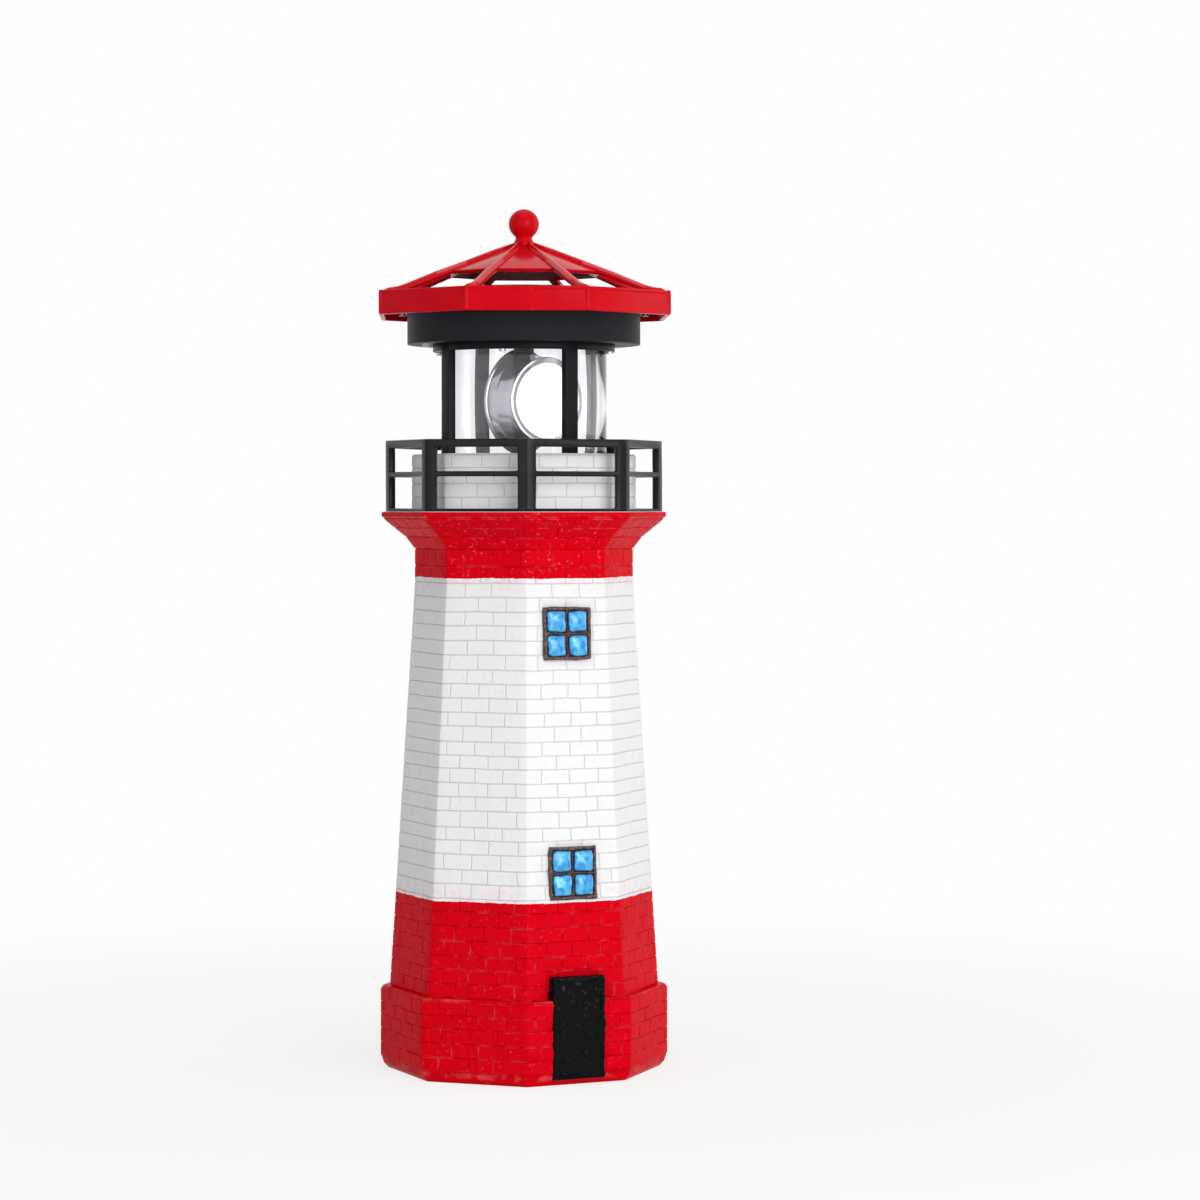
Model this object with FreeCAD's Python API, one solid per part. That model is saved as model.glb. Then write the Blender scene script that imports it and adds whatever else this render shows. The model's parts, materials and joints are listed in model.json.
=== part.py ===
"""Garden lighthouse ornament with a solar lamp that turns.

A hollow cast tower of eight sides carries a railing and, in a socket at its top, a lamp unit that
lifts out. The lamp unit is a cage with a clear tube, a round housing with the cell, motor, gears and
switch, and an open eight-sided roof over the solar panel. Inside the tube a reflector and lens hang
from a hollow hub and turn about the vertical axis.

Millimetres. +Z is up, the origin is the centre of the base on the ground, and -Y is the side with the
front arris of the tower. Angles called bearings are measured from -Y towards +X.
"""

import FreeCAD, Part
import math
import os

V = FreeCAD.Vector
UP = V(0, 0, 1)
CENTRE = V(0, 0, 0)
SIDES = 8
HALF_SIDE_ANGLE = math.pi / SIDES
FLAT = math.cos(HALF_SIDE_ANGLE)  # a flat's distance from the axis, per unit of corner radius

# Heights, each hung from the one above it, so that the shaft takes up a change of the total
TOTAL_H = 270.0
FINIAL_H = 10.6
ROOF_H = 23.4
HOUSING_DROP = 8.6
LANTERN_H = 40.9
CAGE_LIFT = 11.5
NECK_H = 18.0
FLARE_OUT_DROP = 2.1
FLARE_MID_DROP = 7.6
FLARE_DROP = 11.4
COLLAR_DROP = 22.0
APEX_Z = TOTAL_H - FINIAL_H
FASCIA_Z = APEX_Z - ROOF_H
HOUSING_Z = FASCIA_Z - HOUSING_DROP
CAGE_BASE_Z = HOUSING_Z - LANTERN_H
DECK_Z = CAGE_BASE_Z - CAGE_LIFT
NECK_TOP_Z = DECK_Z + NECK_H
FLARE_OUT_Z = DECK_Z - FLARE_OUT_DROP
FLARE_MID_Z = DECK_Z - FLARE_MID_DROP
FLARE_Z = DECK_Z - FLARE_DROP
COLLAR_Z = DECK_Z - COLLAR_DROP

# Tower: corner radii and heights of the outside, from the ground up
BASE_R = 45.0
BASE_FOOT_R = 43.0
BASE_FOOT_H = 4.0
LEDGE_Z = 26.0
LEDGE_BEVEL = 0.8
PLINTH_R = 42.3
SHAFT_TOP_R = 34.3
FLARE_MID_R = 37.4
FLARE_OUT_R = 44.2
DECK_R = 45.0
NECK_R = 35.2
TOWER_WALL = 4.3
CAVITY_DROP = 3.0
CAVITY_TOP_Z = COLLAR_Z - CAVITY_DROP
CAVITY_ROOF_DROP = 12.0
DRAIN_R = 3.0

# Face that carries the door and the windows
DOOR_FACE_BEARING = 22.5
DOOR_W = 17.5
DOOR_H = 31.2
DOOR_SILL_Z = 1.8
DOOR_PROUD = 0.7
DOOR_PANEL_INSET = 1.5
DOOR_PANEL_DEPTH = 0.5
WINDOW_W = 15.8
WINDOW_H = 16.2
WINDOW_PROUD = 0.9
WINDOW_BORDER = 1.5
WINDOW_BAR = 1.1
PANE_CROWN = 1.05
UPPER_WINDOW_DROP = 15.3
UPPER_WINDOW_Z = COLLAR_Z - UPPER_WINDOW_DROP
LOWER_WINDOW_Z = 64.4

# Railing on the deck
RAIL_R = 43.6
RAIL_T = 2.2
RAIL_H = 22.3
RAIL_TOP_H = 2.5
RAIL_MID_Z = 11.6
RAIL_MID_H = 1.6
RAIL_FOOT_H = 1.0
RAIL_POST_W = 3.4
RAIL_PLAY = 1.0

# Lantern: clear tube, cage and the socket that it stands in
TUBE_R = 26.0
TUBE_WALL = 1.4
CAGE_GAP = 0.2
POST_T = 2.4
POST_W = 4.4
POST_BEARINGS = (-60.0, 30.0, 120.0, 210.0)
CAGE_BASE_H = 3.4
CAGE_FLOOR_H = 1.8
CAGE_RING_H = 2.3
SPIGOT_R = 24.0
SPIGOT_H = 10.0
SPIGOT_WALL = 2.0
SOCKET_GAP = 0.3
SOCKET_FLOOR_GAP = 1.0
TUBE_SEAT = 1.2
GASKET_H = 0.8

# Housing under the roof
HOUSING_R = 36.6
HOUSING_WALL = 1.6
HOUSING_FLOOR = 1.6
HOUSING_H = 14.4
FLANGE_REACH = 2.9
FLANGE_H = 1.4
FLANGE_Z = 9.8
LID_T = 1.2
LID_GAP = 0.1
PANEL_R = 33.8
PANEL_T = 1.0
CELL_T = 0.3
CELL_W = 9.4
CELL_GAP = 0.8
CELL_ROWS = 6
CELL_EDGE = 1.4
COVER_RIM_H = 2.2
COVER_RIM_W = 1.3
COVER_T = 1.0
COVER_RISE = 1.8

# Roof
ROOF_FLAT_R = 45.0
ROOF_BEARING = 22.5
FASCIA_H = 7.4
FASCIA_T = 1.8
FASCIA_LEAN = 0.5
SOFFIT_H = 1.4
SOFFIT_GAP = 0.3
HIP_W = 2.3
HIP_DEPTH = 2.2
HIP_END_GAP = 0.1
HIP_KNEE_R = 41.0
HIP_KNEE_RISE = 1.6
APEX_R = 3.4
CAP_FLAT_R = 23.5
CAP_T = 1.2
CAP_UNDER_HIP = 0.7
BALL_R = 4.75
FINIAL_NECK_R = 2.7
FINIAL_STEM_R = 1.5
APEX_BOSS_H = 3.0

# Beacon: reflector drum, lens, hub and gears
BEACON_DROP = 18.1
BEACON_Z = HOUSING_Z - BEACON_DROP
BEACON_BEARING = 25.0
DRUM_R = 11.5
DRUM_RIM_R = 12.2
DRUM_RIM_W = 1.3
DRUM_BACK = 4.0
DRUM_FRONT = 16.0
BOWL_R = 10.0
BOWL_DEPTH = 17.5
BOWL_THROAT_R = 3.6
BOWL_STEPS = 5
LENS_R = 10.6
LENS_SEAT = 1.4
LENS_CROWN = 2.8
LENS_RIM_GAP = 0.1
HUB_R = 2.2
HUB_BORE_R = 1.3
HUB_SOCKET_R = 3.2
HUB_SOCKET_DROP = 4.0
HUB_SOCKET_TOP = HOUSING_Z - HUB_SOCKET_DROP
HUB_SOCKET_SINK = 1.0
HUB_RISE = 4.6
HUB_TOP_Z = HOUSING_Z + HUB_RISE
BUSH_R = 3.4
BUSH_LIFT = 0.5
RUN_GAP = 0.05
THRUST_GAP = 0.15
GEAR_MODULE = 0.5
WHEEL_TEETH = 36
PINION_TEETH = 12
GEAR_H = 1.8
TOOTH_ADDENDUM = 0.9  # per module
TOOTH_DEDENDUM = 1.2  # per module
TOOTH_FLANK_DEG = 22.0
TOOTH_SLACK = 0.24
SHAFT_R = 0.75
MOTOR_R = 6.0
MOTOR_H = 8.0
MOTOR_CLIP_T = 1.1
MOTOR_CLIP_H = 5.0
STALK_R = 1.0
STALK_BORE_R = 0.7
STALK_END_LIFT = 3.7
STALK_END_Z = BEACON_Z + STALK_END_LIFT
LEAD_R = 0.2
LEAD_OFF = 0.32
LED_R = 1.5
LED_H = 3.6
LED_SKIRT_R = 1.9
LED_SKIRT_H = 0.8

# What the housing holds
BRIDGE_X = 13.0
BRIDGE_W = 6.0
BRIDGE_T = 1.2
BRIDGE_RISE = 7.6
BRIDGE_TOP_Z = HOUSING_Z + BRIDGE_RISE
BOARD_L = 28.0
BOARD_D = 14.0
BOARD_Y = 4.4
BOARD_T = 1.2
BOARD_SPACER = 0.8
CHIP = (5.0, 4.0, 1.5)
COIL_R = 1.6
COIL_L = 5.0
CELL_BODY_R = 5.15
CELL_BODY_L = 43.5
CELL_Y = 18.0
CELL_NUB_R = 1.9
CELL_NUB_L = 1.0
CRADLE_T = 1.2
CRADLE_H = 5.0
CRADLE_GAP = 0.1
CRADLE_X = 14.0
CONTACT_T = 0.4
CONTACT_W = 7.0
CONTACT_H = 9.0
SPRING_T = 0.3
SPRING_W = 4.0
SPRING_HALF_H = 3.2
SPRING_L = 2.6
SWITCH_BEARING = -75.0
SWITCH_R = 31.9
SWITCH_BODY = (8.4, 3.6, 3.4)
SWITCH_SLOT = (5.0, 2.4)
KNOB = (2.0, 1.8)
KNOB_DROP = 1.2
KNOB_PLAY = 0.3
KNOB_TRAVEL = 2.0

# Screws
ROOF_SCREWS = 4
ROOF_SCREW_R = 38.2
CAGE_SCREWS = 4
SCREW_R = 0.55
SCREW_HEAD_R = 1.05
SCREW_HEAD_H = 0.8
SCREW_SLOT = 0.3
CAGE_SCREW_L = 3.4
ROOF_SCREW_L = 2.4

# Places that follow from the sizes above
POST_IN_R = TUBE_R + CAGE_GAP
POST_OUT_R = POST_IN_R + POST_T
CAGE_RING_Z = HOUSING_Z - CAGE_RING_H
FLOOR_TOP_Z = HOUSING_Z + HOUSING_FLOOR
HOUSING_TOP_Z = HOUSING_Z + HOUSING_H
LID_Z = HOUSING_TOP_Z - LID_T
HOUSING_IN_R = HOUSING_R - HOUSING_WALL
FASCIA_TOP_Z = FASCIA_Z + FASCIA_H
ROOF_CORNER_R = ROOF_FLAT_R / FLAT
FLANGE_TOP_Z = HOUSING_Z + FLANGE_Z + FLANGE_H
KNEE_Z = FASCIA_TOP_Z + HIP_KNEE_RISE
HIP_SLOPE = (APEX_Z - KNEE_Z) / (HIP_KNEE_R - APEX_R)
WHEEL_Z = FLOOR_TOP_Z + BUSH_LIFT + THRUST_GAP
GEAR_CENTRES = GEAR_MODULE * (WHEEL_TEETH + PINION_TEETH) / 2
MOTOR_Z = LID_Z - MOTOR_H


def octagon(corner_r, z, turn=0.0):
    """Corner points of a level octagon with a corner at -Y, turned by a bearing in degrees."""
    points = []
    for k in range(SIDES):
        a = math.radians(turn) + 2 * math.pi * k / SIDES
        points.append(V(corner_r * math.sin(a), -corner_r * math.cos(a), z))
    return points


def octagon_stack(levels, turn=0.0):
    """Solid through octagons given as (corner radius, height), from the bottom up."""
    rings = [octagon(r, z, turn) for r, z in levels]
    faces = [Part.Face(Part.makePolygon(rings[0] + rings[0][:1]))]
    faces.append(Part.Face(Part.makePolygon(rings[-1] + rings[-1][:1])))
    for low, high in zip(rings, rings[1:]):
        for k in range(SIDES):
            j = (k + 1) % SIDES
            faces.append(Part.Face(Part.makePolygon([low[k], low[j], high[j], high[k], low[k]])))
    solid = Part.makeSolid(Part.makeShell(faces))
    if solid.Volume < 0:
        solid.reverse()
    return solid


def disc(r, z, h, x=0.0, y=0.0):
    """Upright cylinder standing at height z."""
    return Part.makeCylinder(r, h, V(x, y, z), UP)


def ring(r_out, r_in, z, h, x=0.0, y=0.0):
    """Upright tube standing at height z."""
    return disc(r_out, z, h, x, y).cut(disc(r_in, z, h, x, y))


def box(w, d, h, x, y, z):
    """Box centred on x and y, standing at height z."""
    return Part.makeBox(w, d, h, V(x - w / 2, y - d / 2, z))


def turned(shape, bearing):
    """Copy of a shape made at -Y, turned about the axis to a bearing."""
    copy = shape.copy()
    copy.rotate(CENTRE, UP, bearing)
    return copy


def fused(shapes):
    """One clean solid from several that touch."""
    whole = shapes[0].fuse(shapes[1:])
    return whole.removeSplitter()


def revolved(points):
    """Solid of revolution about Z from (radius, height) corners joined by straight lines."""
    corners = [V(r, 0, z) for r, z in points]
    face = Part.Face(Part.makePolygon(corners + corners[:1]))
    return face.revolve(CENTRE, UP, 360)


def plate_on_face(w, h, z_mid, flat_r, sink, proud):
    """Upright plate on the door face, from sink mm inside the flat to proud mm outside it."""
    return Part.makeBox(w, sink + proud, h, V(-w / 2, -flat_r - proud, z_mid - h / 2))


def shaft_flat_r(z):
    """Distance of the shaft's flats from the axis at a height."""
    share = (z - LEDGE_Z) / (COLLAR_Z - LEDGE_Z)
    return FLAT * (PLINTH_R + share * (SHAFT_TOP_R - PLINTH_R))


def window(z_mid):
    """Raised window with a border, a cross bar and four crowned panes, on the door face."""
    flat_r = shaft_flat_r(z_mid)
    lean = math.degrees(math.atan(FLAT * (PLINTH_R - SHAFT_TOP_R) / (COLLAR_Z - LEDGE_Z)))
    frame = plate_on_face(WINDOW_W, WINDOW_H, z_mid, flat_r, TOWER_WALL / 2, WINDOW_PROUD)
    pane_w = (WINDOW_W - 2 * WINDOW_BORDER - WINDOW_BAR) / 2
    pane_h = (WINDOW_H - 2 * WINDOW_BORDER - WINDOW_BAR) / 2
    front = -flat_r - WINDOW_PROUD
    for side in (-1, 1):
        for row in (-1, 1):
            x = side * (pane_w + WINDOW_BAR) / 2
            z = z_mid + row * (pane_h + WINDOW_BAR) / 2
            recess = Part.makeBox(pane_w, WINDOW_PROUD, pane_h, V(x - pane_w / 2, front, z - pane_h / 2))
            frame = frame.cut(recess)
            frame = frame.fuse(crowned_pane(x, front + WINDOW_PROUD, z, pane_w, pane_h))
    frame.rotate(V(0, -flat_r, z_mid), V(1, 0, 0), -lean)
    return turned(frame, DOOR_FACE_BEARING)


def crowned_pane(x, y, z, w, h):
    """Pillow of four slopes and a flat crown that stands out of a recess towards -Y."""
    low = [V(x - w / 2, y, z - h / 2), V(x + w / 2, y, z - h / 2)]
    low += [V(x + w / 2, y, z + h / 2), V(x - w / 2, y, z + h / 2)]
    in_x, in_z, crown_y = w / 2 - PANE_CROWN, h / 2 - PANE_CROWN, y - PANE_CROWN
    high = [V(x - in_x, crown_y, z - in_z), V(x + in_x, crown_y, z - in_z)]
    high += [V(x + in_x, crown_y, z + in_z), V(x - in_x, crown_y, z + in_z)]
    wires = [Part.makePolygon(p + p[:1]) for p in (low, high)]
    return Part.makeLoft(wires, True, True)


def door():
    """Raised door slab across the ledge, with a sunk panel."""
    flat_r = FLAT * BASE_R
    z_mid = DOOR_SILL_Z + DOOR_H / 2
    sink = FLAT * (BASE_R - PLINTH_R) + TOWER_WALL / 2
    slab = plate_on_face(DOOR_W, DOOR_H, z_mid, flat_r, sink, DOOR_PROUD)
    panel_w = DOOR_W - 2 * DOOR_PANEL_INSET
    panel_h = DOOR_H - 2 * DOOR_PANEL_INSET
    front = -flat_r - DOOR_PROUD
    slab = slab.cut(Part.makeBox(panel_w, DOOR_PANEL_DEPTH, panel_h, V(-panel_w / 2, front, z_mid - panel_h / 2)))
    return turned(slab, DOOR_FACE_BEARING)


def tower():
    """Cast tower: stepped outside, hollow underside, lamp socket in the neck, door and windows."""
    outside = octagon_stack([
        (BASE_FOOT_R, 0),
        (BASE_R, BASE_FOOT_H),
        (BASE_R, LEDGE_Z - LEDGE_BEVEL),
        (BASE_R - LEDGE_BEVEL, LEDGE_Z),
        (PLINTH_R, LEDGE_Z),
        (SHAFT_TOP_R, COLLAR_Z),
        (SHAFT_TOP_R, FLARE_Z),
        (FLARE_MID_R, FLARE_MID_Z),
        (FLARE_OUT_R, FLARE_OUT_Z),
        (DECK_R, DECK_Z),
        (NECK_R, DECK_Z),
        (NECK_R, NECK_TOP_Z),
    ])
    cavity = octagon_stack([
        (BASE_FOOT_R - TOWER_WALL, 0),
        (PLINTH_R - TOWER_WALL, LEDGE_Z),
        (SHAFT_TOP_R - TOWER_WALL, CAVITY_TOP_Z),
        (SHAFT_TOP_R - TOWER_WALL - CAVITY_ROOF_DROP, CAVITY_TOP_Z + CAVITY_ROOF_DROP / 2),
    ])
    well_z = CAGE_BASE_Z - SPIGOT_H - SOCKET_FLOOR_GAP
    well = disc(SPIGOT_R + SOCKET_GAP, well_z, NECK_TOP_Z - well_z)
    seat = disc(POST_OUT_R + SOCKET_GAP, CAGE_BASE_Z, NECK_TOP_Z - CAGE_BASE_Z)
    drain = disc(DRAIN_R, CAVITY_TOP_Z, well_z - CAVITY_TOP_Z)
    body = outside.cut(cavity)
    for relief in (door(), window(UPPER_WINDOW_Z), window(LOWER_WINDOW_Z)):
        body = body.fuse(relief)
    return body.cut([well, seat, drain]).removeSplitter()


def gallery_railing():
    """Railing of eight bays: an eight-sided wall with two rows of gaps."""
    inner_r = RAIL_R - RAIL_T / FLAT
    wall = octagon_stack([(RAIL_R, DECK_Z), (RAIL_R, DECK_Z + RAIL_H)])
    wall = wall.cut(octagon_stack([(inner_r, DECK_Z), (inner_r, DECK_Z + RAIL_H)]))
    side = 2 * RAIL_R * math.sin(HALF_SIDE_ANGLE)
    gap_w = side - 2 * RAIL_POST_W
    low_z = DECK_Z + RAIL_FOOT_H
    mid_z = DECK_Z + RAIL_MID_Z - RAIL_MID_H / 2
    top_z = DECK_Z + RAIL_H - RAIL_TOP_H
    rows = [(low_z, mid_z - low_z), (mid_z + RAIL_MID_H, top_z - mid_z - RAIL_MID_H)]
    gaps = []
    for k in range(SIDES):
        bearing = (k + 0.5) * 360 / SIDES
        for z, h in rows:
            gaps.append(turned(box(gap_w, 2 * RAIL_T + RAIL_PLAY, h, 0, -RAIL_R * FLAT, z), bearing))
    return wall.cut(gaps)


def lantern_cage():
    """Base with spigot, four posts and a top ring, in one moulding."""
    base_r = POST_OUT_R
    base = disc(base_r, CAGE_BASE_Z, CAGE_BASE_H)
    base = base.cut(disc(TUBE_R - TUBE_WALL - CAGE_GAP, CAGE_BASE_Z + CAGE_FLOOR_H, CAGE_BASE_H))
    groove_z = CAGE_BASE_Z + CAGE_BASE_H - TUBE_SEAT
    groove = ring(TUBE_R + CAGE_GAP, TUBE_R - TUBE_WALL - CAGE_GAP, groove_z, TUBE_SEAT)
    spigot = ring(SPIGOT_R, SPIGOT_R - SPIGOT_WALL, CAGE_BASE_Z - SPIGOT_H, SPIGOT_H)
    top = ring(POST_OUT_R, POST_IN_R, CAGE_RING_Z, CAGE_RING_H)
    post_z = CAGE_BASE_Z + CAGE_BASE_H
    bar = box(POST_W, POST_OUT_R, CAGE_RING_Z - post_z, 0, -POST_OUT_R / 2, post_z)
    bar = bar.common(ring(POST_OUT_R, POST_IN_R, post_z, CAGE_RING_Z - post_z))
    posts = [turned(bar, b) for b in POST_BEARINGS]
    return fused([base.cut(groove), spigot, top] + posts).cut(cage_screw_holes(CAGE_RING_Z, CAGE_RING_H))


def lantern_tube():
    """Clear tube between the cage's groove and the gasket under the housing."""
    low = CAGE_BASE_Z + CAGE_BASE_H - TUBE_SEAT
    return ring(TUBE_R, TUBE_R - TUBE_WALL, low, HOUSING_Z - GASKET_H - low)


def tube_gasket():
    """Soft ring between the tube's top edge and the housing's floor."""
    return ring(TUBE_R, TUBE_R - TUBE_WALL, HOUSING_Z - GASKET_H, GASKET_H)


def switch_place(shape):
    """Moves a shape made at x 0, y 0 to the switch's place, its length along the rim."""
    moved = shape.copy()
    moved.translate(V(0, -SWITCH_R, 0))
    return turned(moved, SWITCH_BEARING)


def housing_shell():
    """Round cup with an outer flange for the roof, a bush hole, a switch slot and cell cradles."""
    cup = disc(HOUSING_R, HOUSING_Z, HOUSING_H).cut(disc(HOUSING_IN_R, FLOOR_TOP_Z, HOUSING_H))
    flange = ring(HOUSING_R + FLANGE_REACH, HOUSING_IN_R, HOUSING_Z + FLANGE_Z, FLANGE_H)
    shelf = ring(HOUSING_R, PANEL_R, LID_Z - LID_T, LID_T)
    shape = cup.fuse([flange, shelf])
    shape = shape.cut(disc(BUSH_R, HOUSING_Z, HOUSING_FLOOR))
    shape = shape.cut(switch_place(box(*SWITCH_SLOT, HOUSING_FLOOR, KNOB_TRAVEL / 2, 0, HOUSING_Z)))
    for x in (-CRADLE_X, CRADLE_X):
        rib = box(CRADLE_T, 2 * CELL_BODY_R + 2 * CRADLE_T, CRADLE_H, x, CELL_Y, FLOOR_TOP_Z)
        bed = Part.makeCylinder(CELL_BODY_R + CRADLE_GAP, CRADLE_T, V(x - CRADLE_T / 2, CELL_Y, cell_axis_z()), V(1, 0, 0))
        shape = shape.fuse(rib.cut(bed))
    for hole in roof_screw_holes(HOUSING_Z + FLANGE_Z, FLANGE_H) + cage_screw_holes(HOUSING_Z, HOUSING_FLOOR):
        shape = shape.cut(hole)
    return shape.removeSplitter()


def cell_axis_z():
    """Height of the cell's axis, resting on the floor of the housing."""
    return FLOOR_TOP_Z + CELL_BODY_R


def housing_lid():
    """Round plate that closes the housing and carries the solar panel, with the motor clip below."""
    plate = disc(HOUSING_IN_R - LID_GAP, LID_Z, LID_T)
    clip = ring(MOTOR_R + MOTOR_CLIP_T, MOTOR_R, LID_Z - MOTOR_CLIP_H, MOTOR_CLIP_H, 0, -GEAR_CENTRES)
    return fused([plate, clip])


def solar_panel():
    """Round board under the roof that carries the solar cells."""
    return disc(PANEL_R, HOUSING_TOP_Z, PANEL_T)


def solar_cells():
    """Rows of thin cells on the board, each as long as the round board leaves room for."""
    cells = []
    pitch = CELL_W + CELL_GAP
    for k in range(CELL_ROWS):
        y = (k - (CELL_ROWS - 1) / 2) * pitch
        far = abs(y) + CELL_W / 2
        half = math.sqrt((PANEL_R - CELL_EDGE) ** 2 - far ** 2)
        for side in (-1, 1):
            w = half - CELL_GAP / 2
            cells.append(box(w, CELL_W, CELL_T, side * (half + CELL_GAP / 2) / 2, y, HOUSING_TOP_Z + PANEL_T))
    return Part.makeCompound(cells)


def solar_cover():
    """Clear shallow dome over the solar panel, standing on the housing's rim."""
    z = HOUSING_TOP_Z
    out_r = PANEL_R + CELL_EDGE
    in_r = out_r - COVER_RIM_W
    top = z + COVER_RIM_H
    rim = ring(out_r, in_r, z, COVER_RIM_H)
    sphere_r = (out_r ** 2 + COVER_RISE ** 2) / (2 * COVER_RISE)
    ball_z = top - sphere_r + COVER_RISE
    outer = Part.makeSphere(sphere_r, V(0, 0, ball_z))
    inner = Part.makeSphere(sphere_r - COVER_T, V(0, 0, ball_z))
    dome = outer.cut(inner).common(disc(out_r, top - COVER_T, 2 * COVER_RISE + COVER_T))
    return fused([rim, dome])


def hip(bearing):
    """One hip rib, rising in a shallow knee from an eaves corner to the apex boss."""
    outer_r = ROOF_CORNER_R - FASCIA_T / 2
    inner_r = HIP_W / 2 / math.tan(HALF_SIDE_ANGLE) + HIP_END_GAP
    top = [(outer_r, FASCIA_TOP_Z), (HIP_KNEE_R, KNEE_Z), (APEX_R, APEX_Z), (inner_r, APEX_Z)]
    points = [V(0, -r, z) for r, z in top] + [V(0, -r, z - HIP_DEPTH) for r, z in reversed(top)]
    face = Part.Face(Part.makePolygon(points + points[:1]))
    rib = face.extrude(V(HIP_W, 0, 0))
    rib.translate(V(-HIP_W / 2, 0, 0))
    return turned(rib, bearing)


def roof_frame():
    """Eight-sided fascia with a soffit ring, eight hip ribs and a closed cap round the apex."""
    low_r = (ROOF_FLAT_R + FASCIA_LEAN) / FLAT
    wall = FASCIA_T / FLAT
    fascia = octagon_stack([(low_r, FASCIA_Z), (ROOF_CORNER_R, FASCIA_TOP_Z)], ROOF_BEARING)
    fascia = fascia.cut(octagon_stack([(low_r - wall, FASCIA_Z), (ROOF_CORNER_R - wall, FASCIA_TOP_Z)], ROOF_BEARING))
    soffit_r = ROOF_CORNER_R - wall / 2
    soffit = octagon_stack([(soffit_r, FLANGE_TOP_Z), (soffit_r, FLANGE_TOP_Z + SOFFIT_H)], ROOF_BEARING)
    soffit = soffit.cut(disc(HOUSING_R + SOFFIT_GAP, FLANGE_TOP_Z, SOFFIT_H))
    cap_corner = CAP_FLAT_R / FLAT
    cap_z = APEX_Z - HIP_SLOPE * (cap_corner - APEX_R) - CAP_UNDER_HIP
    top_z = APEX_Z - CAP_UNDER_HIP
    skin = octagon_stack([(cap_corner, cap_z - CAP_T), (cap_corner, cap_z), (APEX_R, top_z)], ROOF_BEARING)
    under = [(cap_corner - CAP_T, cap_z - CAP_T), (APEX_R - CAP_T, top_z - CAP_T)]
    skin = skin.cut(octagon_stack(under, ROOF_BEARING))
    hips = [hip(ROOF_BEARING + k * 360 / SIDES) for k in range(SIDES)]
    boss = disc(APEX_R, APEX_Z - APEX_BOSS_H, APEX_BOSS_H)
    shape = fused([fascia, soffit, skin, boss] + hips)
    shape = shape.cut(disc(FINIAL_STEM_R, APEX_Z - APEX_BOSS_H, APEX_BOSS_H))
    for hole in roof_screw_holes(FLANGE_TOP_Z, ROOF_SCREW_L - FLANGE_H):
        shape = shape.cut(hole)
    return shape


def finial():
    """Ball on a short neck, with a stem that is pressed into the roof's apex."""
    ball_z = TOTAL_H - BALL_R
    ball = Part.makeSphere(BALL_R, V(0, 0, ball_z))
    neck = disc(FINIAL_NECK_R, APEX_Z, ball_z - APEX_Z)
    stem = disc(FINIAL_STEM_R, APEX_Z - APEX_BOSS_H, APEX_BOSS_H)
    return fused([ball, neck, stem])


def screw(r, head_z, length, bearing):
    """Screw driven upwards, with a slotted head whose flat is at head_z."""
    head = disc(SCREW_HEAD_R, head_z - SCREW_HEAD_H, SCREW_HEAD_H)
    slot = box(2 * SCREW_HEAD_R, SCREW_SLOT, SCREW_SLOT, 0, 0, head_z - SCREW_HEAD_H)
    shape = head.cut(slot).fuse(disc(SCREW_R, head_z, length)).removeSplitter()
    shape.translate(V(0, -r, 0))
    return turned(shape, bearing)


def roof_screw_bearings():
    """Bearings of the screws that hold the roof, on the flats of the roof."""
    return [k * 360 / ROOF_SCREWS for k in range(ROOF_SCREWS)]


def cage_screw_bearings():
    """Bearings of the screws that hold the cage, midway between its posts."""
    return [POST_BEARINGS[0] + 45 + k * 360 / CAGE_SCREWS for k in range(CAGE_SCREWS)]


def cage_screw_r():
    """Radius of the circle of screws in the cage's top ring."""
    return (POST_IN_R + POST_OUT_R) / 2


def roof_screw_holes(z, h):
    """Holes for the roof's screws from height z."""
    return [turned(disc(SCREW_R, z, h, 0, -ROOF_SCREW_R), b) for b in roof_screw_bearings()]


def cage_screw_holes(z, h):
    """Holes for the cage's screws from height z."""
    return [turned(disc(SCREW_R, z, h, 0, -cage_screw_r()), b) for b in cage_screw_bearings()]


def roof_screws():
    """Screws through the housing's flange into the roof's soffit."""
    head_z = HOUSING_Z + FLANGE_Z
    return Part.makeCompound([screw(ROOF_SCREW_R, head_z, ROOF_SCREW_L, b) for b in roof_screw_bearings()])


def cage_screws():
    """Screws through the cage's top ring into the housing's floor."""
    return Part.makeCompound([screw(cage_screw_r(), CAGE_RING_Z, CAGE_SCREW_L, b) for b in cage_screw_bearings()])


def beacon_place(shape):
    """Turns a shape made about Z, nose up, so that its nose points level at the beacon's bearing."""
    laid = shape.copy()
    laid.rotate(CENTRE, V(1, 0, 0), 90)
    laid.translate(V(0, 0, BEACON_Z))
    return turned(laid, BEACON_BEARING)


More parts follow.
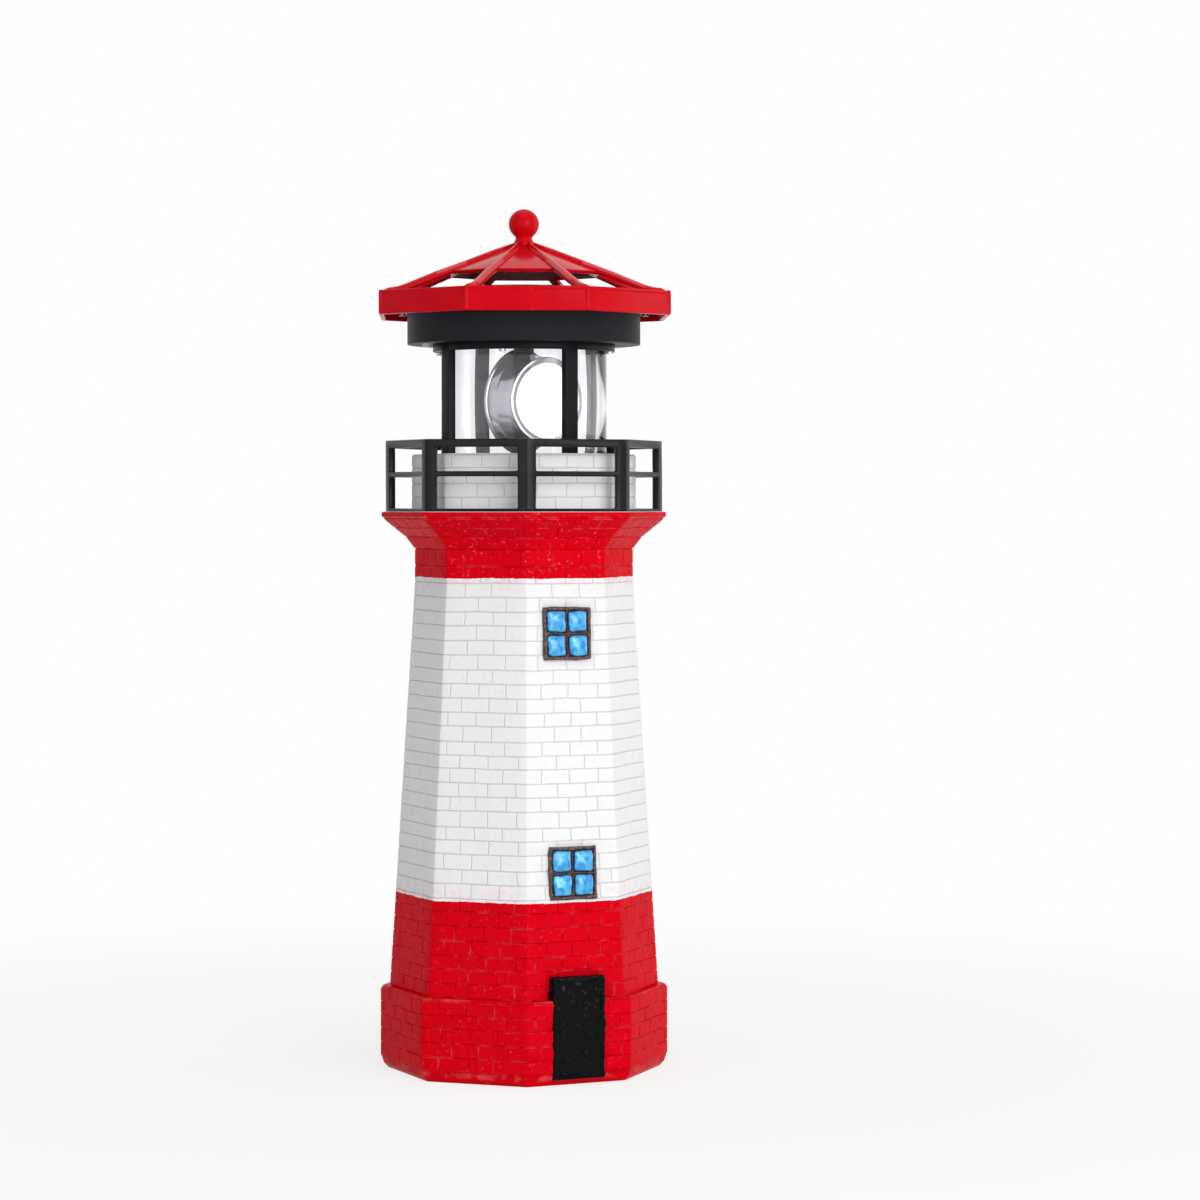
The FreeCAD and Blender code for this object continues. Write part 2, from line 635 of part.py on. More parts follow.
def reflector_drum():
    """Drum with a rim at each end, a bowl that opens forwards and a socket on top for the hub."""
    back_z, front_z = DRUM_RIM_W - DRUM_BACK, DRUM_FRONT - DRUM_RIM_W
    outline = [(0, -DRUM_BACK), (DRUM_RIM_R, -DRUM_BACK), (DRUM_RIM_R, back_z)]
    outline += [(DRUM_R, back_z), (DRUM_R, front_z), (DRUM_RIM_R, front_z)]
    outline += [(DRUM_RIM_R, DRUM_FRONT), (LENS_R, DRUM_FRONT), (LENS_R, DRUM_FRONT - LENS_SEAT)]
    bowl_end = DRUM_FRONT - BOWL_DEPTH
    for k in range(BOWL_STEPS + 1):
        r = BOWL_R + (BOWL_THROAT_R - BOWL_R) * k / BOWL_STEPS
        share = (r ** 2 - BOWL_THROAT_R ** 2) / (BOWL_R ** 2 - BOWL_THROAT_R ** 2)
        outline.append((r, bowl_end + (BOWL_DEPTH - LENS_SEAT) * share))
    outline.append((0, bowl_end))
    drum = beacon_place(revolved(outline))
    socket_z = BEACON_Z + DRUM_R - HUB_SOCKET_SINK
    socket = disc(HUB_SOCKET_R, socket_z, HUB_SOCKET_TOP - socket_z)
    drum = drum.fuse(socket)
    return drum.cut(disc(HUB_R, STALK_END_Z - LED_H, HUB_SOCKET_TOP)).removeSplitter()


def beacon_lens():
    """Clear lens in the drum's mouth, flat inside and crowned outside."""
    r = LENS_R - LENS_RIM_GAP
    sphere_r = (r ** 2 + LENS_CROWN ** 2) / (2 * LENS_CROWN)
    seat = disc(r, DRUM_FRONT - LENS_SEAT, LENS_SEAT)
    ball = Part.makeSphere(sphere_r, V(0, 0, DRUM_FRONT + LENS_CROWN - sphere_r))
    crown = ball.common(disc(r, DRUM_FRONT, LENS_CROWN))
    return beacon_place(fused([seat, crown]))


def beacon_hub():
    """Hollow shaft that carries the drum and passes up through the bush to the wheel."""
    low = BEACON_Z + DRUM_R
    return ring(HUB_R, HUB_BORE_R, low, HUB_TOP_Z - low)


def hub_bush():
    """Bush in the housing's floor that the hub turns in."""
    return ring(BUSH_R, HUB_R + RUN_GAP, HOUSING_Z, HOUSING_FLOOR + BUSH_LIFT)


def gear(teeth, bore_r, z, phase):
    """Spur gear with straight-sided teeth, a tooth at the phase given in degrees from +X."""
    pitch_r = GEAR_MODULE * teeth / 2
    tip_r = pitch_r + GEAR_MODULE * TOOTH_ADDENDUM
    root_r = pitch_r - GEAR_MODULE * TOOTH_DEDENDUM
    half_pitch = math.pi * GEAR_MODULE / 4 - TOOTH_SLACK / 2
    flank = math.tan(math.radians(TOOTH_FLANK_DEG))
    widths = [(root_r, half_pitch + flank * (pitch_r - root_r)), (tip_r, half_pitch - flank * (tip_r - pitch_r))]
    points = []
    for k in range(teeth):
        mid = math.radians(phase) + 2 * math.pi * k / teeth
        for side, rows in ((-1, widths), (1, widths[::-1])):
            for r, half in rows:
                a = mid + side * half / r
                points.append(V(r * math.cos(a), r * math.sin(a), z))
    blank = Part.Face(Part.makePolygon(points + points[:1])).extrude(V(0, 0, GEAR_H))
    return blank.cut(disc(bore_r, z, GEAR_H))


def drive_wheel():
    """Wheel on the hub, resting on the bush."""
    return gear(WHEEL_TEETH, HUB_R, WHEEL_Z, -90)


def motor_pinion():
    """Pinion on the motor's shaft, a gap facing the wheel's tooth."""
    pinion = gear(PINION_TEETH, SHAFT_R, WHEEL_Z, 90 + 180 / PINION_TEETH)
    pinion.translate(V(0, -GEAR_CENTRES, 0))
    return pinion


def motor_shaft():
    """Steel shaft of the motor, from the pinion's foot into the can."""
    return disc(SHAFT_R, WHEEL_Z, MOTOR_Z - WHEEL_Z + MOTOR_H / 2, 0, -GEAR_CENTRES)


def motor():
    """Can of the small motor, held in the lid's clip."""
    can = disc(MOTOR_R, MOTOR_Z, MOTOR_H, 0, -GEAR_CENTRES)
    well = disc(SHAFT_R + RUN_GAP, MOTOR_Z, MOTOR_H / 2 + THRUST_GAP, 0, -GEAR_CENTRES)
    return can.cut(well)


def led_bridge():
    """Bracket over the wheel, on two legs, that carries the lamp's stalk and the board."""
    beam_z = BRIDGE_TOP_Z - BRIDGE_T
    beam = box(2 * BRIDGE_X, BRIDGE_W, BRIDGE_T, 0, 0, beam_z)
    leg_h = beam_z - FLOOR_TOP_Z
    legs = [box(BRIDGE_T, BRIDGE_W, leg_h, s * (BRIDGE_X - BRIDGE_T / 2), 0, FLOOR_TOP_Z) for s in (-1, 1)]
    spacers = [box(BRIDGE_T, BRIDGE_W, BOARD_SPACER, s * (BRIDGE_X - BRIDGE_T / 2), 0, BRIDGE_TOP_Z) for s in (-1, 1)]
    return fused([beam] + legs + spacers).cut(disc(STALK_R, beam_z, BRIDGE_T))


def led_stalk():
    """Thin tube that hangs from the bridge, through the hub, and holds the lamp still."""
    return ring(STALK_R, STALK_BORE_R, STALK_END_Z, BRIDGE_TOP_Z - STALK_END_Z)


def led_leads():
    """Two wires from the lamp up the stalk to the board."""
    h = BRIDGE_TOP_Z + BOARD_SPACER - STALK_END_Z
    return Part.makeCompound([disc(LEAD_R, STALK_END_Z, h, s * LEAD_OFF, 0) for s in (-1, 1)])


def led():
    """Clear lamp body with a skirt and a round end, pointing down into the bowl."""
    skirt = disc(LED_SKIRT_R, STALK_END_Z - LED_SKIRT_H, LED_SKIRT_H)
    body = disc(LED_R, STALK_END_Z - LED_H + LED_R, LED_H - LED_R)
    nose = Part.makeSphere(LED_R, V(0, 0, STALK_END_Z - LED_H + LED_R))
    return fused([skirt, body, nose])


def control_board():
    """Board on the bridge's spacers."""
    return box(BOARD_L, BOARD_D, BOARD_T, 0, BOARD_Y, BRIDGE_TOP_Z + BOARD_SPACER)


def board_parts():
    """Chip and coil on the board."""
    z = BRIDGE_TOP_Z + BOARD_SPACER + BOARD_T
    chip = box(*CHIP, -BOARD_L / 4, BOARD_Y, z)
    coil = Part.makeCylinder(COIL_R, COIL_L, V(BOARD_L / 4 - COIL_L / 2, BOARD_Y, z + COIL_R), V(1, 0, 0))
    return Part.makeCompound([chip, coil])


def cell_left_x():
    """Where the cell's flat end is, beyond the pressed spring."""
    return -(CELL_BODY_L + CELL_NUB_L) / 2 + (SPRING_L - CELL_NUB_L) / 2


def battery():
    """Rechargeable cell with its nub."""
    x = cell_left_x()
    z = cell_axis_z()
    body = Part.makeCylinder(CELL_BODY_R, CELL_BODY_L, V(x, CELL_Y, z), V(1, 0, 0))
    nub = Part.makeCylinder(CELL_NUB_R, CELL_NUB_L, V(x + CELL_BODY_L, CELL_Y, z), V(1, 0, 0))
    return fused([body, nub])


def contact_plate(x):
    """Sprung metal plate at one end of the cell, standing on the housing's floor."""
    return box(CONTACT_T, CONTACT_W, CONTACT_H, x, CELL_Y, FLOOR_TOP_Z)


def positive_contact():
    """Plate that the nub presses on."""
    return contact_plate(cell_left_x() + CELL_BODY_L + CELL_NUB_L + CONTACT_T / 2)


def negative_contact():
    """Plate behind the spring."""
    return contact_plate(cell_left_x() - SPRING_L - CONTACT_T / 2)


def contact_spring():
    """Bowed leaf between the negative plate and the cell's flat end."""
    x = cell_left_x() - SPRING_L
    z = cell_axis_z()
    front = [(x, z - SPRING_HALF_H), (x + SPRING_L, z - SPRING_T), (x + SPRING_L, z + SPRING_T), (x, z + SPRING_HALF_H)]
    back = [(x, z + SPRING_HALF_H - 2 * SPRING_T), (x + SPRING_L - SPRING_T, z), (x, z - SPRING_HALF_H + 2 * SPRING_T)]
    points = [V(px, CELL_Y - SPRING_W / 2, pz) for px, pz in front + back]
    return Part.Face(Part.makePolygon(points + points[:1])).extrude(V(0, SPRING_W, 0))


def switch_body():
    """Slide switch inside the housing, over its slot, with a channel for the knob."""
    l, w, h = SWITCH_BODY
    body = box(l, w, h, 0, 0, FLOOR_TOP_Z)
    channel = box(KNOB[0] + KNOB_TRAVEL + 2 * KNOB_PLAY, KNOB[1] + KNOB_PLAY, h / 2, KNOB_TRAVEL / 2, 0, FLOOR_TOP_Z)
    return switch_place(body.cut(channel))


def switch_knob():
    """Knob that slides along the rim, off at rest."""
    l, w = KNOB
    h = KNOB_DROP + HOUSING_FLOOR + SWITCH_BODY[2] / 2 - KNOB_PLAY
    return switch_place(box(l, w, h, 0, 0, HOUSING_Z - KNOB_DROP))


NODES = {
    "tower": tower,
    "gallery_railing": gallery_railing,
    "lantern_cage": lantern_cage,
    "lantern_tube": lantern_tube,
    "tube_gasket": tube_gasket,
    "cage_screws": cage_screws,
    "housing_shell": housing_shell,
    "housing_lid": housing_lid,
    "solar_panel": solar_panel,
    "solar_cells": solar_cells,
    "solar_cover": solar_cover,
    "roof_frame": roof_frame,
    "roof_screws": roof_screws,
    "finial": finial,
    "reflector_drum": reflector_drum,
    "beacon_lens": beacon_lens,
    "beacon_hub": beacon_hub,
    "hub_bush": hub_bush,
    "drive_wheel": drive_wheel,
    "motor_pinion": motor_pinion,
    "motor_shaft": motor_shaft,
    "motor": motor,
    "led_bridge": led_bridge,
    "led_stalk": led_stalk,
    "led_leads": led_leads,
    "led": led,
    "control_board": control_board,
    "board_parts": board_parts,
    "battery": battery,
    "positive_contact": positive_contact,
    "negative_contact": negative_contact,
    "contact_spring": contact_spring,
    "switch_body": switch_body,
    "switch_knob": switch_knob,
}

os.makedirs("parts", exist_ok=True)
for name, make in NODES.items():
    shape = make()
    solids = shape.Solids
    print(name, "solids", len(solids), "valid", shape.isValid(), "volume", round(shape.Volume, 1))
    shape.exportStep("parts/" + name + ".step")
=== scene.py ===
"""Garden lighthouse ornament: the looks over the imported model.

Metres; lengths in the tables and functions are in millimetres and go through MM.
Bearings are degrees from -Y towards +X, as in the part's source.
"""
import bpy
import bmesh
import json
import math
import random
from mathutils import Matrix, Vector, noise


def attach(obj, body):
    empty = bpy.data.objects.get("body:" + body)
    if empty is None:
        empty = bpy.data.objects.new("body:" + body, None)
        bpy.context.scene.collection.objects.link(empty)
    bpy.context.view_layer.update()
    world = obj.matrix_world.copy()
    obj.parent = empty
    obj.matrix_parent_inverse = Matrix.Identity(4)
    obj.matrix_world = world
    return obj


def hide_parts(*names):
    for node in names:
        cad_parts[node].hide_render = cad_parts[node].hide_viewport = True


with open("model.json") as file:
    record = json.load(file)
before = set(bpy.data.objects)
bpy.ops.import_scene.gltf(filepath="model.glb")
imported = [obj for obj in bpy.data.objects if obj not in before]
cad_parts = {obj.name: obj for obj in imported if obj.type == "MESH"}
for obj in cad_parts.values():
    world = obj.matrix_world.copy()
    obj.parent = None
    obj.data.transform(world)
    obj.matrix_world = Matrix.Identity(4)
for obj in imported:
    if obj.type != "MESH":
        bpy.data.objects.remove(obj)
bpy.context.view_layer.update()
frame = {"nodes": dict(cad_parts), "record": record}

MM = 0.001
nodes = frame["nodes"]


# ---------------------------------------------------------------- finishes

class Wire:
    """An output of a node that takes part in arithmetic."""

    def __init__(self, finish, socket):
        self.finish, self.socket = finish, socket

    def __add__(self, other): return self.finish.math("ADD", self, other)
    def __radd__(self, other): return self.finish.math("ADD", other, self)
    def __sub__(self, other): return self.finish.math("SUBTRACT", self, other)
    def __rsub__(self, other): return self.finish.math("SUBTRACT", other, self)
    def __mul__(self, other): return self.finish.math("MULTIPLY", self, other)
    def __rmul__(self, other): return self.finish.math("MULTIPLY", other, self)
    def __truediv__(self, other): return self.finish.math("DIVIDE", self, other)
    def __lt__(self, other): return self.finish.math("LESS_THAN", self, other)
    def __gt__(self, other): return self.finish.math("GREATER_THAN", self, other)


class Finish:
    """A material under construction."""

    def __init__(self, name):
        self.material = bpy.data.materials.new(name)
        self.material.use_nodes = True
        self.tree = self.material.node_tree
        self.tree.nodes.clear()

    def node(self, kind, settings=None, sockets=None, output=0):
        made = self.tree.nodes.new("ShaderNode" + kind)
        for key, value in (settings or {}).items():
            if key == "stops":
                while len(made.color_ramp.elements) < len(value):
                    made.color_ramp.elements.new(0.5)
                for stop, (place, level) in zip(made.color_ramp.elements, value):
                    stop.position, stop.color = place, (level, level, level, 1)
            else:
                setattr(made, key, value)
        for key, value in (sockets or {}).items():
            if isinstance(value, Wire):
                self.tree.links.new(value.socket, made.inputs[key])
            else:
                made.inputs[key].default_value = value
        return Wire(self, made.outputs[output]) if made.outputs else None

    def math(self, operation, a, b):
        return self.node("Math", {"operation": operation}, {0: a, 1: b})

    def clamp(self, wire):
        return self.node("Math", {"operation": "ADD", "use_clamp": True}, {0: wire, 1: 0.0})

    def place(self):
        return self.node("TexCoord", output=3)

    def axis(self, name, vector=None):
        return self.node("SeparateXYZ", None, {0: vector or self.place()}, "XYZ".index(name))

    def stretched(self, scale):
        return self.node("Mapping", None, {0: self.place(), 3: scale})

    def noise(self, size_mm, detail=3.0, rough=0.5, vector=None):
        return self.node("TexNoise", None, {
            "Vector": vector or self.place(), "Scale": 1 / (size_mm * MM),
            "Detail": detail, "Roughness": rough})

    def ramp(self, wire, stops):
        return self.node("ValToRGB", {"stops": stops}, {0: wire})

    def mix(self, share, a, b):
        return self.node("Mix", {"data_type": "RGBA"}, {0: share, 6: a, 7: b}, 2)

    def bump(self, height, depth_mm, strength=1.0, under=None):
        sockets = {"Height": height, "Distance": depth_mm * MM, "Strength": strength}
        if under:
            sockets["Normal"] = under
        return self.node("Bump", None, sockets)

    def surface(self, **sockets):
        named = {key.replace("_", " "): value for key, value in sockets.items()}
        shader = self.node("BsdfPrincipled", None, named)
        self.node("OutputMaterial", None, {0: shader})
        return self.material


def rgb(r, g, b):
    """Linear colour from the 0-255 values that the eye reads."""
    def linear(v):
        v /= 255
        return v / 12.92 if v <= 0.04045 else ((v + 0.055) / 1.055) ** 2.4
    return (linear(r), linear(g), linear(b), 1.0)


LOWER_PAINT_Z = 55.5
UPPER_PAINT_Z = 154.6
DECK_PAINT_Z = 174.95
UPPER_WINDOW_Z = 137.7
LOWER_WINDOW_Z = 64.4
DOOR_TOP_Z = 33.0


PAINT_IOR = 1.06


def resin_paint():
    """Red and white bands on cast bricks, uneven where a brush met the next band."""
    f = Finish("painted_resin")
    z = f.axis("Z")
    edge = z + (f.noise(7) - 0.5) * 0.9 * MM + (f.noise(1.6) - 0.5) * 0.5 * MM
    low = edge < LOWER_PAINT_Z * MM
    high = (edge > UPPER_PAINT_Z * MM) * (z < DECK_PAINT_Z * MM)
    red = f.clamp(low + high)
    groove = f.node("Attribute", {"attribute_name": "groove"}, None, 2)
    blotch = f.noise(14, 4, 0.6)
    fine = f.noise(0.7, 4, 0.6)
    white = f.mix(blotch, rgb(238, 238, 239), rgb(246, 246, 246))
    # painted shade: the white turns grey down in the brick grooves, where shade falls
    white = f.mix(groove * 0.50, white, rgb(180, 178, 181))
    bleed_low = f.clamp(1 - (z - LOWER_PAINT_Z * MM) / (6 * MM))
    bleed_high = f.clamp(1 - (UPPER_PAINT_Z * MM - z) / (4 * MM)) * (z < DECK_PAINT_Z * MM)
    bleed = f.clamp(bleed_low + bleed_high) * f.ramp(f.noise(2.2, 3), [(0.46, 0), (0.62, 1)])
    white = f.mix(bleed * 0.30, white, rgb(240, 150, 165))
    paint_red = f.mix(blotch, rgb(226, 4, 26), rgb(206, 2, 20))
    # pale pink spots: worn paint all over, and above the upper paint line a larger share of them that is a
    # painted highlight on the collar and the gallery
    wear_and_highlight_spots = f.ramp(f.noise(1.3, 4, 0.65), [(0.60, 0), (0.72, 1)])
    pale_spot_share = f.clamp(0.16 + (z > UPPER_PAINT_Z * MM) * 0.42)
    paint_red = f.mix(wear_and_highlight_spots * pale_spot_share, paint_red, rgb(246, 116, 134))
    # painted shade: the red turns darker down in the brick grooves, where shade falls
    paint_red = f.mix(groove * 0.36, paint_red, rgb(160, 0, 16))
    # painted highlight: pale pink lines along the edges of the bricks, where the light catches them
    brick_edge_highlight = groove * (1 - groove) * 4 * f.ramp(f.noise(6, 3, 0.6), [(0.48, 0), (0.62, 1)])
    paint_red = f.mix(brick_edge_highlight * 0.30, paint_red, rgb(246, 122, 134))
    pits = f.ramp(f.noise(1.1, 2), [(0.30, 0), (0.40, 1)])
    lumps = f.noise(3.2, 3, 0.55)
    relief = f.bump(lumps, 0.22, 0.8)
    relief = f.bump(pits * 0.7 + fine * 0.3, 0.16, 0.75, relief)
    return f.surface(
        Base_Color=f.mix(red, white, paint_red),
        Roughness=f.clamp(0.50 - 0.20 * red + (fine - 0.5) * 0.25),
        Normal=relief, IOR=PAINT_IOR)


def moulded(name, colour, second, rough, grain_mm=0.9, depth_mm=0.02, coat=0.0, spread=0.12, ior=1.16):
    """Moulded plastic: two near colours, an uneven sheen and a faint grain."""
    f = Finish(name)
    cloud = f.noise(9, 3)
    grain = f.noise(grain_mm, 3, 0.6)
    return f.surface(
        Base_Color=f.mix(cloud, colour, second),
        Roughness=f.clamp(rough + (cloud - 0.5) * spread + (grain - 0.5) * spread * 0.6),
        Normal=f.bump(grain, depth_mm, 0.6), Coat_Weight=coat, Coat_Roughness=0.08, IOR=ior)


def roof_plastic(name, ior):
    """Glossy red plastic with soft flow marks and pale scuffs."""
    f = Finish(name)
    flow = f.noise(11, 3, 0.5, f.stretched((1.0, 1.0, 2.6)))
    grain = f.noise(0.8, 3)
    scuff = f.ramp(f.noise(2.4, 4, 0.7), [(0.62, 0), (0.74, 1)])
    colour = f.mix(flow, rgb(216, 4, 24), rgb(188, 2, 18))
    colour = f.mix(scuff * 0.20, colour, rgb(238, 90, 104))
    return f.surface(
        Base_Color=colour, Roughness=f.clamp(0.24 + (flow - 0.5) * 0.16 + scuff * 0.12),
        Normal=f.bump(flow * 0.7 + grain * 0.3, 0.07, 0.7), IOR=ior)


def door_paint():
    """Thick black paint with pale grey spots, more of them towards the top, that are painted highlights on
    the gloss.
    """
    f = Finish("door_black_paint")
    fine = f.noise(1.0, 4, 0.65)
    # painted highlight: pale grey spots on the black paint, more of them towards the top
    pale_spot_share = f.ramp(f.noise(1.5, 4, 0.7), [(0.56, 0), (0.68, 1)])
    z = f.axis("Z")
    high = f.clamp((z - 20 * MM) / (14 * MM)) * 0.8 + 0.2
    return f.surface(
        Base_Color=f.mix(pale_spot_share * high, rgb(6, 6, 8), rgb(66, 66, 70)),
        Roughness=f.clamp(0.42 + (fine - 0.5) * 0.3), Normal=f.bump(fine, 0.16, 0.7), IOR=1.15)


def frame_paint():
    """Dark brown window frame, dry brushed with copper."""
    f = Finish("window_frame_brown")
    fleck = f.ramp(f.noise(0.9, 4, 0.7), [(0.45, 0), (0.68, 1)])
    cloud = f.noise(2.6, 3)
    base = f.mix(cloud, rgb(46, 22, 26), rgb(20, 13, 18))
    return f.surface(
        Base_Color=f.mix(fleck * 0.8, base, rgb(158, 106, 92)),
        Roughness=f.clamp(0.42 + (cloud - 0.5) * 0.3), Normal=f.bump(fleck, 0.12, 0.7))


def pane_paint():
    """Bright blue metallic paint, lighter on the crown and nearly black in the corners."""
    f = Finish("window_pane_blue")
    cloud = f.noise(1.7, 4, 0.6)
    rim = f.node("Attribute", {"attribute_name": "rim"}, None, 2)
    blue = f.mix(f.ramp(cloud, [(0.36, 0), (0.64, 1)]), rgb(6, 126, 206), rgb(78, 194, 240))
    return f.surface(
        Base_Color=f.mix(f.clamp(rim * 1.2), blue, rgb(6, 26, 72)),
        Roughness=0.26, Metallic=0.15, Normal=f.bump(cloud, 0.16, 0.6), Coat_Weight=0.5, Coat_Roughness=0.1)


def clear_plastic(name, tint, rough=0.02, ior=1.46):
    """Clear moulding with faint handling haze."""
    f = Finish(name)
    haze = f.noise(6, 3)
    return f.surface(
        Base_Color=tint, Roughness=f.clamp(rough + (haze - 0.5) * 0.03), Transmission_Weight=1.0, IOR=ior)


def metal(name, colour, rough, brushed=None, depth_mm=0.004):
    """Bare or plated metal with fine lines along or round the piece."""
    f = Finish(name)
    lines = f.noise(0.5, 3, 0.6, f.stretched(brushed) if brushed else None)
    cloud = f.noise(5, 2)
    return f.surface(
        Base_Color=f.mix(cloud, colour, tuple(v * 0.9 for v in colour[:3]) + (1.0,)), Metallic=1.0,
        Roughness=f.clamp(rough + (lines - 0.5) * 0.14), Normal=f.bump(lines, depth_mm, 0.5))


def plating(name, colour, second, metallic, rough, glow):
    """Soft plating on plastic; glow is painted light, which makes the plating give off light of its own
    though it is no lamp.
    """
    f = Finish(name)
    cloud = f.noise(4, 2)
    return f.surface(
        Base_Color=f.mix(cloud, colour, second), Metallic=metallic,
        Emission_Color=(1.0, 0.99, 0.97, 1.0), Emission_Strength=glow,
        Roughness=f.clamp(rough + (cloud - 0.5) * 0.12), Normal=f.bump(cloud, 0.01, 0.4))


def solar_cell():
    """Dark blue cell with fine pale collector lines."""
    f = Finish("solar_cell_blue")
    x, y = f.axis("X"), f.axis("Y")
    def lines(wire, pitch_mm, share):
        part = f.node("Math", {"operation": "FRACT"}, {0: wire / (pitch_mm * MM) + 100.5})
        return part < share
    grid = f.clamp(lines(x, 1.3, 0.07) + lines(y, 5.1, 0.06))
    flakes = f.node("TexVoronoi", None, {"Vector": f.place(), "Scale": 1 / (2.5 * MM)}, 1)
    shade = f.axis("X", flakes)
    blue = f.mix(shade, rgb(14, 22, 62), rgb(26, 42, 98))
    return f.surface(
        Base_Color=f.mix(grid, blue, rgb(150, 156, 168)), Roughness=f.clamp(0.22 + grid * 0.2), IOR=1.5)


def circuit_board():
    """Green lacquer over copper tracks."""
    f = Finish("board_green_lacquer")
    x, y = f.axis("X"), f.axis("Y")
    wave = f.node("Math", {"operation": "FRACT"}, {0: (x + y) / (2.6 * MM) + 50.0})
    tracks = (wave < 0.28) * (f.noise(4, 0) > 0.5)
    return f.surface(
        Base_Color=f.mix(tracks, rgb(12, 74, 36), rgb(28, 112, 58)), Roughness=0.3,
        Normal=f.bump(tracks, 0.05, 0.6))


def cell_sleeve():
    """Shrink sleeve of the cell: green with a white band at the spring end."""
    f = Finish("cell_sleeve_green")
    x = f.axis("X")
    band = (x < -14 * MM) * (x > -17 * MM)
    wrinkle = f.noise(1.8, 3, 0.6, f.stretched((0.3, 1, 1)))
    return f.surface(
        Base_Color=f.mix(band, rgb(24, 128, 66), rgb(228, 230, 226)),
        Roughness=f.clamp(0.25 + (wrinkle - 0.5) * 0.2), Normal=f.bump(wrinkle, 0.05, 0.6))


FINISHES = {
    "cast_resin": resin_paint(),
    "door": door_paint(),
    "window_frame": frame_paint(),
    "window_pane": pane_paint(),
    "railing_black": moulded("railing_black_satin", rgb(10, 10, 12), rgb(22, 22, 24), 0.27,
                             depth_mm=0.05, coat=0.02, ior=1.25),
    "cage_black": moulded("cage_black_satin", rgb(20, 20, 22), rgb(32, 32, 35), 0.34),
    "housing_black": moulded("housing_black_satin", rgb(32, 32, 36), rgb(40, 40, 44), 0.42,
                             grain_mm=1.1, ior=1.12),
    "tube_clear": clear_plastic("tube_clear_plastic", rgb(250, 250, 252)),
    "cover_clear": clear_plastic("cover_clear_plastic", rgb(248, 250, 252), 0.02, 1.35),
    "lens_clear": clear_plastic("lens_clear_plastic", rgb(252, 252, 253), 0.015, 1.49),
    "gasket_grey": moulded("gasket_soft_grey", rgb(92, 92, 94), rgb(112, 112, 114), 0.75, 0.6, 0.04),
    "roof_red": roof_plastic("roof_red_gloss", 1.15),
    "roof_top": roof_plastic("roof_red_top_gloss", 1.45),
    "reflector_silver": plating("reflector_plating", rgb(196, 196, 204), rgb(160, 160, 168), 0.75, 0.20, 0.0),
    # painted light: the bowl's inside is matt near white and glows by itself, standing for the bright light
    # that the plated bowl gives back
    "bowl_plating": plating("bowl_plating_painted_glow", rgb(253, 253, 254), rgb(248, 248, 251), 0.0, 0.38, 0.5),
    "screw_steel": metal("screw_zinc", rgb(176, 176, 180), 0.30, (4, 4, 1)),
    "shaft_steel": metal("spring_steel", rgb(190, 190, 194), 0.24, (1, 1, 8)),
    "motor_can": metal("motor_can_drawn", rgb(186, 186, 190), 0.30, (1, 1, 8)),
    "bush_brass": metal("bush_turned_brass", rgb(206, 168, 92), 0.28, (1, 1, 8)),
    "hub_black": moulded("hub_black_plastic", rgb(20, 20, 21), rgb(30, 30, 31), 0.40),
    "gear_white": moulded("gear_white_acetal", rgb(226, 226, 222), rgb(214, 214, 208), 0.42),
    "panel_board": moulded("panel_dark_board", rgb(40, 46, 62), rgb(52, 58, 74), 0.45),
    "cell_blue": solar_cell(),
    "board_green": circuit_board(),
    "chip_black": moulded("chip_black_epoxy", rgb(28, 28, 30), rgb(38, 38, 40), 0.55),
    "battery_wrap": cell_sleeve(),
    "switch_black": moulded("switch_black_plastic", rgb(26, 26, 27), rgb(36, 36, 38), 0.48),
    "switch_white": moulded("switch_white_plastic", rgb(232, 232, 230), rgb(222, 222, 218), 0.40),
}


# ---------------------------------------------------------------- bench tools

def deselect():
    if bpy.context.mode != "OBJECT":
        bpy.ops.object.mode_set(mode="OBJECT")
    bpy.ops.object.select_all(action="DESELECT")


def take(piece):
    """Makes a piece the only selected one."""
    deselect()
    piece.select_set(True)
    bpy.context.view_layer.objects.active = piece


def open_up(piece):
    take(piece)
    bpy.ops.object.mode_set(mode="EDIT")
    bpy.ops.mesh.select_mode(type="FACE")


def close_up():
    bpy.ops.object.mode_set(mode="OBJECT")


def pick_faces(piece, test):
    """Selects the faces, of a piece open in edit mode, that a test of the face accepts."""
    mesh = bmesh.from_edit_mesh(piece.data)
    for part in (mesh.verts, mesh.edges, mesh.faces):
        for one in part:
            one.select = False
    for face in mesh.faces:
        if test(face):
            face.select_set(True)
    bmesh.update_edit_mesh(piece.data)


def worked(piece, kind, **settings):
    """Adds a modifier and applies it."""
    take(piece)
    added = piece.modifiers.new(kind.lower(), kind)
    for key, value in settings.items():
        setattr(added, key, value)
    bpy.ops.object.modifier_apply(modifier=added.name)


def sealed(piece, gap_mm=0.002):
    """Merges doubled points and turns all faces outwards."""
    open_up(piece)
    bpy.ops.mesh.select_all(action="SELECT")
    bpy.ops.mesh.remove_doubles(threshold=gap_mm * MM)
    bpy.ops.mesh.normals_make_consistent(inside=False)
    close_up()


def bevelled(piece, width_mm, segments, angle):
    worked(piece, "BEVEL", width=width_mm * MM, segments=segments, limit_method="ANGLE",
           angle_limit=math.radians(angle))


def smoothed(piece, angle):
    """Shades every edge below an angle smooth."""
    take(piece)
    bpy.ops.object.shade_smooth_by_angle(angle=math.radians(angle))


def softened(piece, width_mm, segments=2, angle=30, smooth=40):
    """Rounds the sharp edges and shades what is left smooth."""
    bevelled(piece, width_mm, segments, angle)
    smoothed(piece, smooth)


def cut(point, normal):
    """Cuts all of the piece that is open in edit mode along a plane."""
    bpy.ops.mesh.select_all(action="SELECT")
    bpy.ops.mesh.bisect(plane_co=point, plane_no=normal)


def named(name):
    piece = bpy.context.object
    piece.name = piece.data.name = name
    return piece


